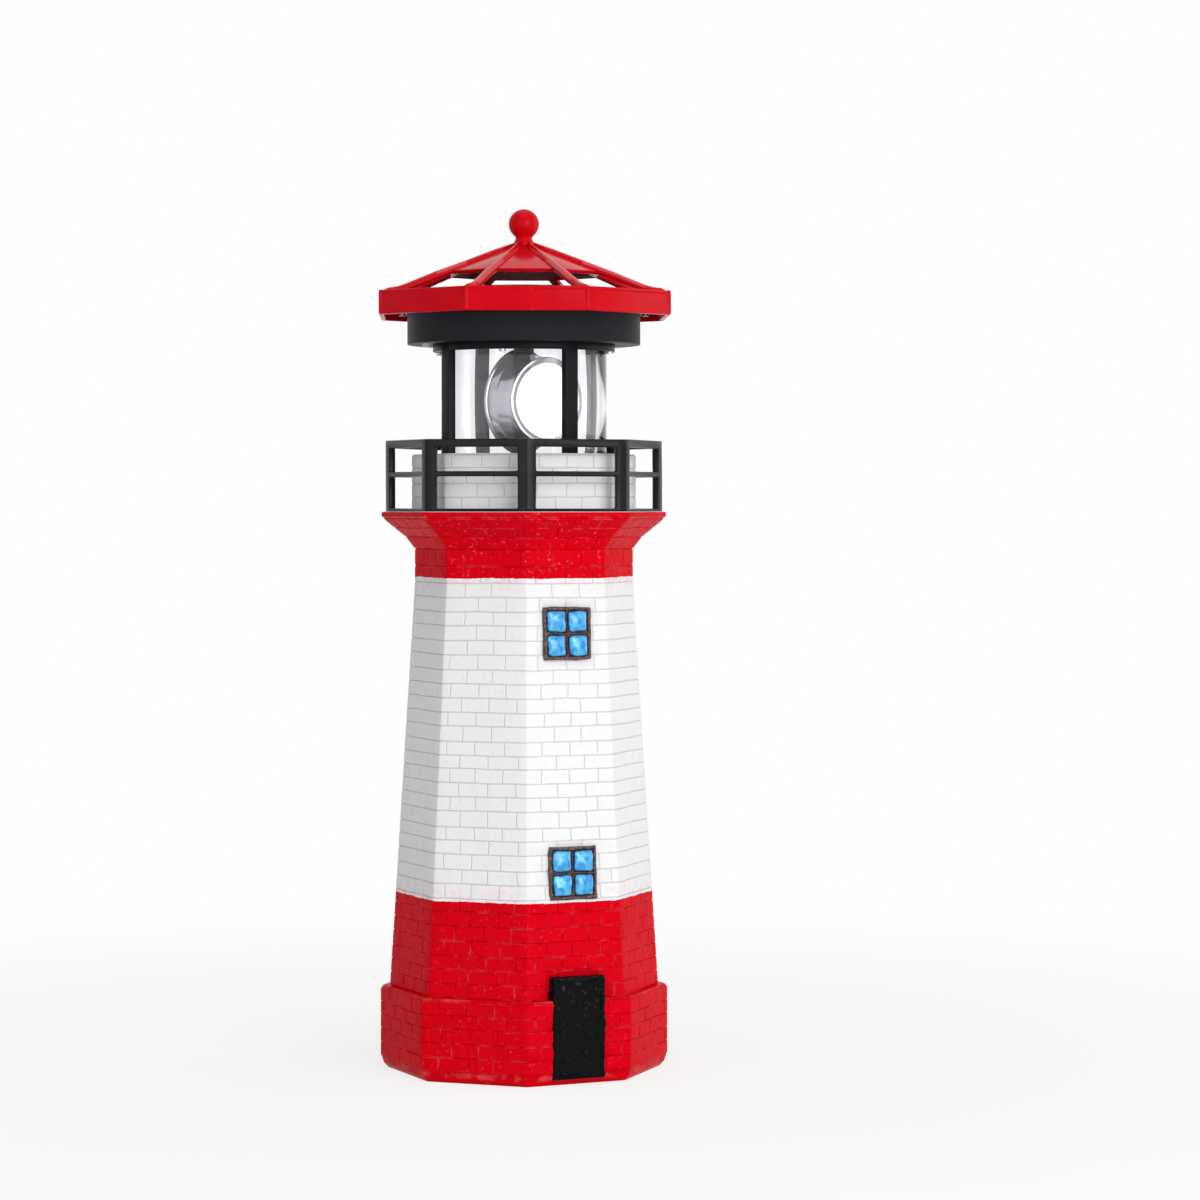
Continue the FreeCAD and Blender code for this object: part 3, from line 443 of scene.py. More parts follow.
def turned(name, steps, sides=96):
    """Turned piece: a ring drawn through (radius, height) steps and closed at its poles or on itself."""
    tiny = 1e-4
    deselect()
    r, z = max(steps[0][0], tiny), steps[0][1]
    bpy.ops.mesh.primitive_circle_add(vertices=sides, radius=r * MM, location=(0, 0, 0))
    piece = named(name)
    bpy.ops.object.mode_set(mode="EDIT")
    bpy.ops.mesh.select_mode(type="EDGE")
    bpy.ops.mesh.select_all(action="SELECT")
    bpy.ops.transform.translate(value=(0, 0, z * MM))
    for next_r, next_z in steps[1:]:
        next_r = max(next_r, tiny)
        bpy.ops.mesh.extrude_edges_move(TRANSFORM_OT_translate={"value": (0, 0, (next_z - z) * MM)})
        bpy.ops.transform.resize(value=(next_r / r, next_r / r, 1), center_override=(0, 0, next_z * MM))
        r, z = next_r, next_z
    close_up()
    sealed(piece, 0.001)
    return piece


def block(name, size, centre):
    """Cuboid of a size at a centre."""
    deselect()
    bpy.ops.mesh.primitive_cube_add(size=1, location=(0, 0, 0))
    piece = named(name)
    bpy.ops.object.mode_set(mode="EDIT")
    bpy.ops.mesh.select_all(action="SELECT")
    bpy.ops.transform.resize(value=tuple(v * MM for v in size))
    bpy.ops.transform.translate(value=tuple(v * MM for v in centre))
    close_up()
    return piece


def put(piece, matrix):
    """Moves a piece and keeps the move in its mesh."""
    take(piece)
    piece.matrix_world = matrix
    bpy.ops.object.transform_apply(location=True, rotation=True, scale=True)
    return piece


def bearing_turn(bearing):
    return Matrix.Rotation(math.radians(bearing), 4, "Z")


def copied(piece, name, matrix):
    """Another of the same, with a mesh of its own."""
    other = piece.copy()
    other.data = piece.data.copy()
    other.name = other.data.name = name
    bpy.context.scene.collection.objects.link(other)
    return put(other, matrix)


def joined(name, parts):
    deselect()
    for part in parts:
        part.select_set(True)
    bpy.context.view_layer.objects.active = parts[0]
    bpy.ops.object.join()
    return named(name)


def shaken(piece, amount_mm, size_mm, patch, keep=None):
    """Moves every point a little, the same way as its neighbours, as a hand does.

    Each patch is another part of the noise. The noise itself isn't seeded, so it starts
    somewhere else in each run and the points don't repeat exactly.
    """
    shift = Vector((patch * 7.3, patch * 3.1, patch * 5.7))
    for vertex in piece.data.vertices:
        if keep and keep(vertex.co):
            continue
        spot = vertex.co / (size_mm * MM) + shift
        vertex.co += noise.noise_vector(spot) * amount_mm * MM


def dressed(piece, finishes, body, slot, *replaced):
    """Gives a piece its finish and its body, and hides the CAD nodes that it stands for."""
    if isinstance(finishes, str):
        finishes = [finishes]
    if finishes:
        piece.data.materials.clear()
        for finish in finishes:
            piece.data.materials.append(FINISHES[finish])
    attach(piece, body)
    if replaced:
        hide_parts(*replaced)
    return piece


def from_node(node, name, width_mm, segments=2, angle=30):
    """A copy of a CAD node with its edges rounded as moulding leaves them."""
    piece = nodes[node].copy()
    piece.data = nodes[node].data.copy()
    piece.animation_data_clear()
    for key in list(piece.keys()):
        del piece[key]
    piece.parent = None
    piece.name = piece.data.name = name
    bpy.context.scene.collection.objects.link(piece)
    piece.matrix_world = Matrix.Identity(4)
    sealed(piece, 0.003)
    open_up(piece)
    bpy.ops.mesh.select_all(action="SELECT")
    bpy.ops.mesh.dissolve_limited(angle_limit=math.radians(1))
    close_up()
    softened(piece, width_mm, segments, angle)
    return piece


# ---------------------------------------------------------------- tower casting

SIDES = 8
FLAT = math.cos(math.pi / SIDES)
SIDE_LEN = 30.0        # width that one flat has on the unrolled sheet
ROW_H = 4.4            # height that one row has on it
BRICK_L = 9.3
GROOVE_W = 0.06
GROOVE_D = 0.26
MEAN_SIDE = 32.0       # width that a flat has on the tower, on the whole
ARRIS = (-1.1, -0.5, 0.0, 0.5, 1.1)
REAR_ARRIS = 4         # where the sheet's ends meet
RELIEF_BEARING = 22.5  # flat that carries the door and the windows
SHAFT_LOW_R, SHAFT_LOW_Z = 42.3, 26.0
SHAFT_TOP_R, SHAFT_TOP_Z = 34.3, 153.0
WINDOW_W, WINDOW_H = 15.8, 16.2
DOOR_W, DOOR_SILL_Z = 17.5, 1.8

# (corner radius, height, roundness, brick courses up to the next line)
TOWER_LINES = [
    (43.0, 0.0, 0, 0), (44.4, 1.4, 0, 0), (45.25, 3.8, 0, 5), (45.25, 25.2, 0, 0), (44.5, 26.0, 0, 0),
    (SHAFT_LOW_R, SHAFT_LOW_Z, 0, 29), (SHAFT_TOP_R, SHAFT_TOP_Z, 0, 2),
    (SHAFT_TOP_R, 163.4, 0, 1), (37.2, 167.2, 0, 2), (44.1, 172.8, 0, 0),
    (44.9, 173.6, 0, 0), (44.9, 174.8, 0, 0), (44.2, 175.1, 0, 0), (35.2, 175.1, 0, 4), (35.2, 192.6, 0, 0),
    (34.7, 193.0, 0, 0), (28.9, 193.0, 1, 0), (28.9, 186.5, 1, 0), (24.3, 186.5, 1, 0), (24.3, 175.5, 1, 0),
    (3.0, 175.5, 1, 0), (3.0, 156.0, 1, 0), (18.0, 156.0, 0, 0), (30.0, 150.0, 0, 0), (38.0, 26.0, 0, 0),
    (38.7, 0.0, 0, 0), (43.0, 0.0, 0, 0),
]


def course_rows(lines, rng):
    """Rows of the sheet as (line below, line above, is brick), courses a little uneven."""
    rows = []
    for (r0, z0, w0, courses), (r1, z1, w1, _) in zip(lines, lines[1:]):
        steps = max(courses, 1)
        marks = [0.0] + [(k + rng.uniform(-0.07, 0.07)) / steps for k in range(1, steps)] + [1.0]
        for a, b in zip(marks, marks[1:]):
            low = (r0 + (r1 - r0) * a, z0 + (z1 - z0) * a, w0 + (w1 - w0) * a)
            high = (r0 + (r1 - r0) * b, z0 + (z1 - z0) * b, w0 + (w1 - w0) * b)
            rows.append((low, high, courses > 0))
    return rows


def on_octagon(u, corner_r, roundness, round_mm=1.3):
    """Point of the tower's outline at u sides from the front arris, and the direction outwards."""
    k = math.floor(u)
    t = u - k
    side = 2 * corner_r * math.sin(math.pi / SIDES)
    mid = (k + 0.5) * 2 * math.pi / SIDES
    along = (t - 0.5) * side
    out = Vector((math.sin(mid), -math.cos(mid), 0))
    tangent = Vector((math.cos(mid), math.sin(mid), 0))
    flat_point = out * corner_r * FLAT + tangent * along
    to_corner = side / 2 - abs(along)
    if to_corner < round_mm:
        share = 1 - to_corner / round_mm
        corner_a = (k + (1 if along > 0 else 0)) * 2 * math.pi / SIDES
        corner_out = Vector((math.sin(corner_a), -math.cos(corner_a), 0))
        flat_point -= corner_out * 0.10 * round_mm * share ** 2
        out = out.lerp(corner_out, share * 0.9).normalized()
    a = u * 2 * math.pi / SIDES
    round_point = Vector((math.sin(a), -math.cos(a), 0)) * corner_r
    round_out = Vector((math.sin(a), -math.cos(a), 0))
    return flat_point.lerp(round_point, roundness), out.lerp(round_out, roundness).normalized()


def under_relief(point, z):
    """Whether a point of the wall lies behind the door or a window."""
    turn = math.radians(RELIEF_BEARING)
    along = point.x * math.cos(turn) + point.y * math.sin(turn)
    out = point.x * math.sin(turn) - point.y * math.cos(turn)
    wall_out, inset = 28, 0.6
    door_half, window_half_w, window_half_h = 8.2, 7.3, 7.5
    if out < wall_out:
        return False
    if abs(along) < door_half and DOOR_SILL_Z + inset < z < DOOR_TOP_Z - inset:
        return True
    near_window = min(abs(z - UPPER_WINDOW_Z), abs(z - LOWER_WINDOW_Z)) < window_half_h
    return abs(along) < window_half_w and near_window


def tower_casting():
    """The casting is laid out as one unrolled sheet, cut into bricks, and then rolled up."""
    rng = random.Random(11)
    rows = course_rows(TOWER_LINES, rng)
    deselect()
    bpy.ops.mesh.primitive_grid_add(x_subdivisions=1, y_subdivisions=len(rows), size=2, location=(0, 0, 0))
    piece = named("tower_casting")
    lines = sorted({round(v.co.y, 6) for v in piece.data.vertices})
    for vertex in piece.data.vertices:
        line = min(range(len(lines)), key=lambda k: abs(lines[k] - vertex.co.y))
        vertex.co = (SIDE_LEN * SIDES if vertex.co.x > 0 else 0.0, line * ROW_H, 0)
    for face in piece.data.polygons:
        face.material_index = int(face.center.y / ROW_H)

    # upright joints, brick by brick
    open_up(piece)
    for index, (low, high, brick) in enumerate(rows):
        if not brick:
            continue
        side = 2 * (low[0] + high[0]) / 2 * math.sin(math.pi / SIDES)
        for k in range(SIDES):
            shift = BRICK_L * (0.5 if index % 2 else 0.0) + rng.uniform(-0.7, 0.7)
            shift -= 2.4 if k % 3 == 0 else 0.0
            count = int(side / BRICK_L) + 2
            for j in range(-count, count + 1):
                x = j * BRICK_L + shift + rng.uniform(-0.55, 0.55)
                if abs(x) > side / 2 - 1.9:
                    continue
                place = (k + 0.5 + x / side) * SIDE_LEN
                lean = rng.uniform(-0.06, 0.06)
                pick_faces(piece, lambda face: face.material_index == index)
                bpy.ops.mesh.bisect(plane_co=(place, (index + 0.5) * ROW_H, 0), plane_no=(1, lean, 0))
    bricks = {index for index, row in enumerate(rows) if row[2]}
    pick_faces(piece, lambda face: face.material_index in bricks)
    bpy.ops.mesh.inset(thickness=GROOVE_W, depth=0, use_individual=True)
    bpy.ops.mesh.inset(thickness=0.12, depth=GROOVE_D * 0.72, use_individual=True)
    bpy.ops.mesh.inset(thickness=0.16, depth=GROOVE_D * 0.28, use_individual=True)

    # arrises, so that the sheet can fold there
    for k in range(SIDES + 1):
        for step in ARRIS if 0 < k < SIDES else (ARRIS[2:] if k == 0 else ARRIS[:3]):
            if (k, step) in ((0, 0.0), (SIDES, 0.0)):
                continue
            cut((k * SIDE_LEN + step * SIDE_LEN / MEAN_SIDE, 0, 0), (1, 0, 0))
    # round rows get more points
    round_rows = {index for index, row in enumerate(rows) if row[0][2] or row[1][2]}
    for k in range(SIDES):
        for step in (0.2, 0.4, 0.6, 0.8):
            pick_faces(piece, lambda face: face.material_index in round_rows)
            bpy.ops.mesh.bisect(plane_co=((k + step) * SIDE_LEN, 0, 0), plane_no=(1, 0, 0))
    close_up()

    # roll the sheet up
    groove = piece.data.attributes.new("groove", "FLOAT", "POINT")
    for number, vertex in enumerate(piece.data.vertices):
        x, y, rise = vertex.co
        index = min(int(y / ROW_H), len(rows) - 1)
        share = y / ROW_H - index
        if share < 1e-4 and index and not rows[index][2]:
            index, share = index - 1, 1.0
        low, high, brick = rows[index]
        r, z, w = (low[i] + (high[i] - low[i]) * share for i in range(3))
        point, out = on_octagon(x / SIDE_LEN + REAR_ARRIS, r, w)
        dr, dz = high[0] - low[0], high[1] - low[1]
        slope = Vector((out.x * dz, out.y * dz, -dr)).normalized() if brick else out
        lift = rise - (GROOVE_D / 2 if brick else 0)
        if brick:
            spot = Vector((point.x, point.y, z))
            lift += noise.noise(spot / 14.0) * 0.05
            if under_relief(point, z):
                lift = -1.4
            z += noise.noise(spot / 9.0 + Vector((0, 0, 4))) * 0.25
        groove.data[number].value = 1 - min(rise / GROOVE_D, 1.0) if brick else 0.0
        vertex.co = Vector((point.x, point.y, z)) * MM + slope * lift * MM
    sealed(piece, 0.02)
    for face in piece.data.polygons:
        face.material_index = 0
    smoothed(piece, 19)
    return piece


def shaft_lean():
    return math.degrees(math.atan(FLAT * (SHAFT_LOW_R - SHAFT_TOP_R) / (SHAFT_TOP_Z - SHAFT_LOW_Z)))


def shaft_flat(z):
    taper = (SHAFT_LOW_R - SHAFT_TOP_R) / (SHAFT_TOP_Z - SHAFT_LOW_Z)
    return FLAT * (SHAFT_LOW_R - taper * (z - SHAFT_LOW_Z))


def window(name, z_mid, patch):
    """Raised hand-made window: an uneven frame, two bars and four pillowed panes."""
    w, h, border, bar = WINDOW_W, WINDOW_H, 1.0, 0.6
    face_y = -0.9
    frame_piece = block(name + "_frame", (w, 2.2, h), (0, face_y + 1.1, 0))
    open_up(frame_piece)
    pick_faces(frame_piece, lambda face: face.normal.y < -0.9)
    bpy.ops.mesh.inset(thickness=border * MM, depth=0)
    bpy.ops.mesh.extrude_region_move(TRANSFORM_OT_translate={"value": (0, 0.9 * MM, 0)})
    close_up()
    bevelled(frame_piece, 0.35, 2, 30)
    open_up(frame_piece)
    for place in [k * 2.6 for k in range(-2, 3)]:
        cut((place * MM, 0, 0), (1, 0, 0))
        cut((0, 0, place * MM), (0, 0, 1))
    close_up()
    bars = []
    crossing = (
        ((w - border, 1.2, bar), (0, -0.25, 0), (1, 0, 0)),
        ((bar * 0.8, 1.0, h - border), (0, -0.1, 0), (0, 0, 1)))
    for number, (size, spot, along) in enumerate(crossing):
        stick = block(name + "_bar" + str(number), size, spot)
        open_up(stick)
        for place in (-5, -2.5, 0, 2.5, 5):
            cut(tuple(place * MM * v for v in along), along)
        close_up()
        bevelled(stick, 0.3, 2, 40)
        bars.append(stick)
    whole = joined(name + "_frame", [frame_piece] + bars)
    shaken(whole, 0.42, 2.6, patch, keep=lambda co: co.y > 0.6 * MM)
    smoothed(whole, 50)

    pane_w, pane_h = (w - 2 * border - bar) / 2, (h - 2 * border - bar) / 2
    first = block(name + "_pane", (pane_w - 0.1, 2.6, pane_h - 0.1), (0, 0.1, 0))
    bevelled(first, 1.1, 2, 40)
    worked(first, "SUBSURF", levels=2)
    for vertex in first.data.vertices:
        x, z = vertex.co.x / (pane_w / 2 * MM), vertex.co.z / (pane_h / 2 * MM)
        if vertex.co.y < 0:
            vertex.co.y -= 0.45 * MM * max(0.0, 1 - x * x) * max(0.0, 1 - z * z)
    panes = []
    for number, (sx, sz) in enumerate(((-1, -1), (1, -1), (-1, 1), (1, 1))):
        spot = Matrix.Translation((sx * (pane_w + bar) / 2 * MM, 0, sz * (pane_h + bar) / 2 * MM))
        pane = copied(first, name + "_pane" + str(number), spot)
        shaken(pane, 0.35, 3.0, patch + number + 1)
        panes.append(pane)
    bpy.data.objects.remove(first)
    glass = joined(name + "_panes", panes)
    rim = glass.data.attributes.new("rim", "FLOAT", "POINT")
    for number, vertex in enumerate(glass.data.vertices):
        rim.data[number].value = max(0.0, min(1.0, (vertex.co.y / MM + 0.95) / 0.8))
    take(glass)
    bpy.ops.object.shade_smooth()
    where = bearing_turn(RELIEF_BEARING) @ Matrix.Translation((0, -shaft_flat(z_mid) * MM, z_mid * MM))
    where = where @ Matrix.Rotation(math.radians(-shaft_lean()), 4, "X")
    dressed(put(whole, where), "window_frame", "tower", "cast_resin")
    dressed(put(glass, where), "window_pane", "tower", "cast_resin")


def door():
    """Black slab with a rough rim and a sunk panel, across the ledge."""
    w, sill = DOOR_W, DOOR_SILL_Z
    h = DOOR_TOP_Z - sill
    piece = block("door_slab", (w, 6.2, h), (0, -FLAT * 45.0 + 2.4, sill + h / 2))
    open_up(piece)
    pick_faces(piece, lambda face: face.normal.y < -0.9)
    bpy.ops.mesh.inset(thickness=1.3 * MM, depth=0)
    bpy.ops.mesh.inset(thickness=0.35 * MM, depth=-0.35 * MM)
    close_up()
    bevelled(piece, 0.4, 2, 50)
    open_up(piece)
    for step in range(1, 16):
        cut((0, 0, (sill + step * 2.1) * MM), (0, 0, 1))
    for step in range(-3, 4):
        cut((step * 2.2 * MM, 0, 0), (1, 0, 0))
    close_up()
    border, front_y = 1.6, -40.2

    def panel(co):
        inside = abs(co.x) < (w / 2 - border) * MM
        return co.y < front_y * MM and inside and (sill + border) * MM < co.z < (DOOR_TOP_Z - border) * MM
    shaken(piece, 0.55, 2.2, 3, keep=lambda co: co.z < 2.4 * MM or co.y > front_y * MM or panel(co))
    shaken(piece, 0.12, 5.0, 4, keep=lambda co: not panel(co))
    smoothed(piece, 45)
    dressed(put(piece, bearing_turn(RELIEF_BEARING)), "door", "tower", "cast_resin")


# ---------------------------------------------------------------- railing

def octagon_tube(name, corner_r, z0, z1, turn=0.0, top_r=None):
    """Open eight-sided wall with a corner at the bearing given."""
    deselect()
    bpy.ops.mesh.primitive_cylinder_add(vertices=SIDES, radius=corner_r * MM, depth=(z1 - z0) * MM,
                                        end_fill_type="NOTHING", location=(0, 0, 0))
    piece = named(name)
    put(piece, Matrix.Translation((0, 0, (z0 + z1) / 2 * MM)) @ bearing_turn(turn))
    if top_r:
        for vertex in piece.data.vertices:
            if vertex.co.z > (z0 + z1) / 2 * MM:
                vertex.co.x *= top_r / corner_r
                vertex.co.y *= top_r / corner_r
    return piece


def railing():
    """Eight bays of two openings, cut out of an eight-sided wall."""
    r, z0, h, thick = 43.6, 175.0, 22.3, 2.2
    post, foot, top, mid_z, mid_h = 3.2, 1.0, 2.5, 11.6, 1.6
    piece = octagon_tube("gallery_rails", r, z0, z0 + h)
    open_up(piece)
    for z in (z0 + foot, z0 + mid_z - mid_h / 2, z0 + mid_z + mid_h / 2, z0 + h - top):
        cut((0, 0, z * MM), (0, 0, 1))
    side = 2 * r * math.sin(math.pi / SIDES)
    for k in range(SIDES):
        turn = bearing_turn((k + 0.5) * 45)
        out, along = turn @ Vector((0, -1, 0)), turn @ Vector((1, 0, 0))
        for sign in (-1, 1):
            pick_faces(piece, lambda face: face.normal.dot(out) > 0.95)
            spot = out * r * FLAT * MM + along * sign * (side / 2 - post) * MM
            bpy.ops.mesh.bisect(plane_co=spot, plane_no=along)

    def opening(face):
        centre = face.calc_center_median()
        z = centre.z / MM - z0
        near = max(abs(centre.dot(bearing_turn((k + 0.5) * 45) @ Vector((1, 0, 0)))) for k in range(SIDES)
                   if face.normal.dot(bearing_turn((k + 0.5) * 45) @ Vector((0, -1, 0))) > 0.95)
        high = foot < z < mid_z - mid_h / 2 or mid_z + mid_h / 2 < z < h - top
        return high and near / MM < side / 2 - post
    pick_faces(piece, opening)
    bpy.ops.mesh.delete(type="FACE")
    close_up()
    worked(piece, "SOLIDIFY", thickness=thick * MM, offset=-1, use_even_offset=True)
    sealed(piece)
    bevelled(piece, 0.45, 2, 40)
    shaken(piece, 0.16, 9, 5)
    smoothed(piece, 40)
    return dressed(piece, "railing_black", "tower", "railing_black", "gallery_railing")


# ---------------------------------------------------------------- roof

ROOF_TURN = 22.5
ROOF_CORNER = 45.0 / FLAT


def roof():
    """Fascia with a bead, soffit, eight round-backed hips with corner knobs, and the cap."""
    parts = []
    wall = octagon_tube("fascia", ROOF_CORNER + 0.5, 236.0, 243.4, ROOF_TURN, ROOF_CORNER)
    worked(wall, "SOLIDIFY", thickness=1.8 * MM, offset=-1, use_even_offset=True)
    sealed(wall)
    open_up(wall)
    for z in (242.3, 242.7):
        cut((0, 0, z * MM), (0, 0, 1))
    close_up()
    for vertex in wall.data.vertices:
        if vertex.co.z < 242.5 * MM and vertex.co.xy.length > 47.5 * MM:
            vertex.co.x *= 0.9935
            vertex.co.y *= 0.9935
    softened(wall, 0.35, 2, 30, 50)
    parts.append(wall)
    # a rounded bead up each corner of the fascia
    bead_steps = [(0, 236.0), (0.75, 236.1), (0.95, 236.5), (0.9, 243.0), (0.6, 243.5), (0, 243.6)]
    bead = turned("bead", bead_steps, 16)
    for k in range(SIDES):
        where = bearing_turn(ROOF_TURN + k * 45) @ Matrix.Translation((0, -(ROOF_CORNER - 0.75) * MM, 0))
        parts.append(copied(bead, "bead" + str(k), where))
    bpy.data.objects.remove(bead)

    soffit_flat = 44.0
    soffit = turned("soffit", [(36.9, 238.6), (44.6, 238.6), (44.6, 240.0), (36.9, 240.0), (36.9, 238.6)], 64)
    for vertex in soffit.data.vertices:
        if vertex.co.xy.length > 40 * MM:
            a = math.atan2(vertex.co.x, -vertex.co.y)
            # the outer edge follows the eight flats, which face the axes and the diagonals
            from_middle = ((a + math.pi / SIDES) % (math.tau / SIDES)) - math.pi / SIDES
            scale = soffit_flat * MM / math.cos(from_middle) / vertex.co.xy.length
            vertex.co.x *= scale
            vertex.co.y *= scale
    softened(soffit, 0.2, 1, 40, 40)
    parts.append(soffit)

    # one hip, drawn along its line as a run of rounded sections
    line = [(47.6, 243.0), (45.8, 243.9), (43.2, 244.3), (41.0, 245.0), (38.0, 246.2), (30.0, 249.35),
            (20.0, 253.1), (10.0, 256.9), (3.0, 259.3)]
    section = [(-1.4, -2.1), (-1.4, -0.7), (-0.8, 0.05), (0.0, 0.34), (0.8, 0.05), (1.4, -0.7), (1.4, -2.1)]
    deselect()
    bpy.ops.mesh.primitive_circle_add(vertices=len(section), radius=MM, fill_type="NGON", location=(0, 0, 0))
    rib = named("hip")
    for vertex, (x, z) in zip(rib.data.vertices, section):
        vertex.co = (x * MM, -line[0][0] * MM, (line[0][1] + z) * MM)
    open_up(rib)
    bpy.ops.mesh.select_all(action="SELECT")
    for (r0, z0), (r1, z1) in zip(line, line[1:]):
        step = (0, (r0 - r1) * MM, (z1 - z0) * MM)
        bpy.ops.mesh.extrude_region_move(TRANSFORM_OT_translate={"value": step})
    close_up()
    for vertex in rib.data.vertices:
        r = -vertex.co.y / MM
        vertex.co.x *= 1.0 + 0.35 * max(0.0, (r - 43.0) / 5) - 0.12 * max(0.0, (20 - r) / 20)
    sealed(rib)
    softened(rib, 0.25, 1, 60, 60)
    for k in range(SIDES):
        hip = copied(rib, "hip" + str(k), bearing_turn(ROOF_TURN + k * 45))
        shaken(hip, 0.22, 12, k + 1, keep=lambda co: co.xy.length > 46.5 * MM)
        parts.append(hip)
    bpy.data.objects.remove(rib)

    slope = (259.4 - 245.0) / (41.0 - 3.4)
    cap_r = 23.5 / FLAT
    cap_z = 259.4 - slope * (cap_r - 3.4) - 0.9
    cap = octagon_tube("cap", cap_r, cap_z, 258.7, ROOF_TURN, 3.4)
    worked(cap, "SOLIDIFY", thickness=1.3 * MM, offset=-1, use_even_offset=True)
    sealed(cap)
    softened(cap, 0.3, 2, 50, 30)
    parts.append(cap)
    boss_steps = [(0, 256.6), (3.0, 256.6), (3.7, 258.0), (3.9, 259.0), (3.4, 259.5), (0, 259.5)]
    boss = turned("boss", boss_steps, 32)
    softened(boss, 0.15, 1, 30, 60)
    parts.append(boss)
    piece = joined("roof_canopy", parts)
    shaken(piece, 0.12, 16, 21)
    dressed(piece, ["roof_red", "roof_top"], "lamp_unit", "roof_red", "roof_frame")
    for face in piece.data.polygons:
        face.material_index = int(face.normal.z > 0.6 and face.center.z > 244.5 * MM)


def finial():
    """Ball on a waisted neck with a small collar."""
    ball_z, r = 265.25, 4.75
    steps = [(0, 259.0), (3.2, 259.0), (3.1, 259.8), (2.75, 260.3), (2.55, 260.9), (2.75, 261.2)]
    start = -62
    for k in range(0, 15):
        a = math.radians(start + (90 - start) * k / 14)
        if ball_z + r * math.sin(a) > 261.2:
            steps.append((r * math.cos(a), ball_z + r * math.sin(a)))
    piece = turned("finial_ball", steps, 48)
    softened(piece, 0.12, 1, 50, 60)
    shaken(piece, 0.10, 5, 9, keep=lambda co: co.z > 269 * MM)
    return dressed(piece, "roof_red", "lamp_unit", "roof_red", "finial")


# ---------------------------------------------------------------- lantern

def lantern():
    tube_steps = [(26.0, 188.8), (26.0, 226.5), (24.6, 226.5), (24.6, 188.8), (26.0, 188.8)]
    tube = turned("lantern_glass", tube_steps, 128)
    softened(tube, 0.15, 2, 40, 40)
    dressed(tube, "tube_clear", "lamp_unit", "tube_clear", "lantern_tube")
    cage = from_node("lantern_cage", "lantern_cage_moulding", 0.3, 2, 40)
    dressed(cage, "cage_black", "lamp_unit", "cage_black", "lantern_cage")
    shell = from_node("housing_shell", "lamp_housing", 0.3, 2, 40)
    dressed(shell, "housing_black", "lamp_unit", "housing_black", "housing_shell")


def solar_dome():
    """Clear shallow dome with a rim."""
    out_r, z, rim_h, rise, thick = 35.2, 241.8, 2.2, 1.8, 1.0
    outer = [(out_r, z), (out_r, z + rim_h)]
    for k in range(1, 9):
        share = 1 - k / 8
        outer.append((out_r * share, z + rim_h + rise * (1 - share ** 2)))
    inner = [(0, z + rim_h + rise - thick)]
    for k in range(1, 9):
        share = k / 8
        inner.append(((out_r - 1.3) * share, z + rim_h - thick + rise * (1 - share ** 2)))
    piece = turned("solar_dome", outer + inner + [(out_r - 1.3, z), (out_r, z)], 96)
    softened(piece, 0.2, 2, 40, 40)
    dressed(piece, "cover_clear", "lamp_unit", "cover_clear", "solar_cover")


BEACON_Z = 209.3
BEACON_BEARING = 25
BOWL_R = 10.0
HUB_BORE_R = 3.6       # the bowl's small end
BOWL_FLOOR = -1.5      # along the drum's own axis
LENS_R = 10.5


def beacon_seat(piece):
    """Lays a piece made nose up so that its nose points level at the beacon's bearing."""
    level = Matrix.Rotation(math.radians(90), 4, "X")
    return put(piece, Matrix.Translation((0, 0, BEACON_Z * MM)) @ bearing_turn(BEACON_BEARING) @ level)


def beacon():
    """Plated drum with ribs and seam, and its lens."""
    bowl = []
    for k in range(0, 9):
        r = BOWL_R + (HUB_BORE_R - BOWL_R) * k / 8
        share = (r ** 2 - HUB_BORE_R ** 2) / (BOWL_R ** 2 - HUB_BORE_R ** 2)
        bowl.append((r, BOWL_FLOOR + 16.1 * share))
    steps = [(0, -4.0), (9.4, -4.0), (10.2, -3.6), (12.2, -3.6), (12.2, -2.5), (11.5, -2.4), (11.5, 3.0),
             (11.75, 3.2), (11.75, 3.9), (11.5, 4.1), (11.5, 14.5), (12.2, 14.7), (12.2, 16.0), (10.6, 16.0),
             (10.6, 14.6)]
    drum = turned("reflector_bowl", steps + bowl + [(0, BOWL_FLOOR)], 96)
    softened(drum, 0.18, 2, 30, 40)
    # the inner faces of the bowl take the plating with the painted glow
    inside = [int((face.center / MM).xy.length < 10.62 and face.center.z > -1.6 * MM)
              for face in drum.data.polygons]
    dressed(beacon_seat(drum), ["reflector_silver", "bowl_plating"], "beacon", "reflector_silver")
    for face, finish in zip(drum.data.polygons, inside):
        face.material_index = finish
    collar_steps = [(2.2, 220.0), (3.2, 220.0), (3.2, 222.9), (2.9, 223.4), (2.2, 223.4), (2.2, 220.0)]
    collar = turned("reflector_collar", collar_steps, 48)
    softened(collar, 0.12, 1, 30, 40)
    dressed(collar, "hub_black", "beacon", "hub_black", "reflector_drum")
    clip_y = -4.8
    clip = joined("drum_clip", [block("clip_left", (1.1, 1.4, 3.3), (-1.75, clip_y, 223.0)),
                                block("clip_right", (1.1, 1.4, 3.3), (1.75, clip_y, 223.0)),
                                block("clip_foot", (4.4, 1.4, 1.3), (0, clip_y, 221.2))])
    bevelled(clip, 0.2, 2, 40)
    dressed(clip, "hub_black", "beacon", "hub_black")
    crown = []
    for k in range(0, 9):
        share = 1 - k / 8
        crown.append((LENS_R * share, 16.0 + 2.8 * (1 - share ** 2)))
    lens = turned("beacon_glass", [(0, 14.6), (LENS_R, 14.6)] + crown, 96)
    softened(lens, 0.12, 2, 40, 40)
    dressed(beacon_seat(lens), "lens_clear", "beacon", "lens_clear", "beacon_lens")


# ---------------------------------------------------------------- put together

dressed(tower_casting(), "cast_resin", "tower", "cast_resin", "tower")
window("upper_window", UPPER_WINDOW_Z, 2)
window("lower_window", LOWER_WINDOW_Z, 6)
door()
railing()
roof()
finial()
lantern()
solar_dome()
beacon()

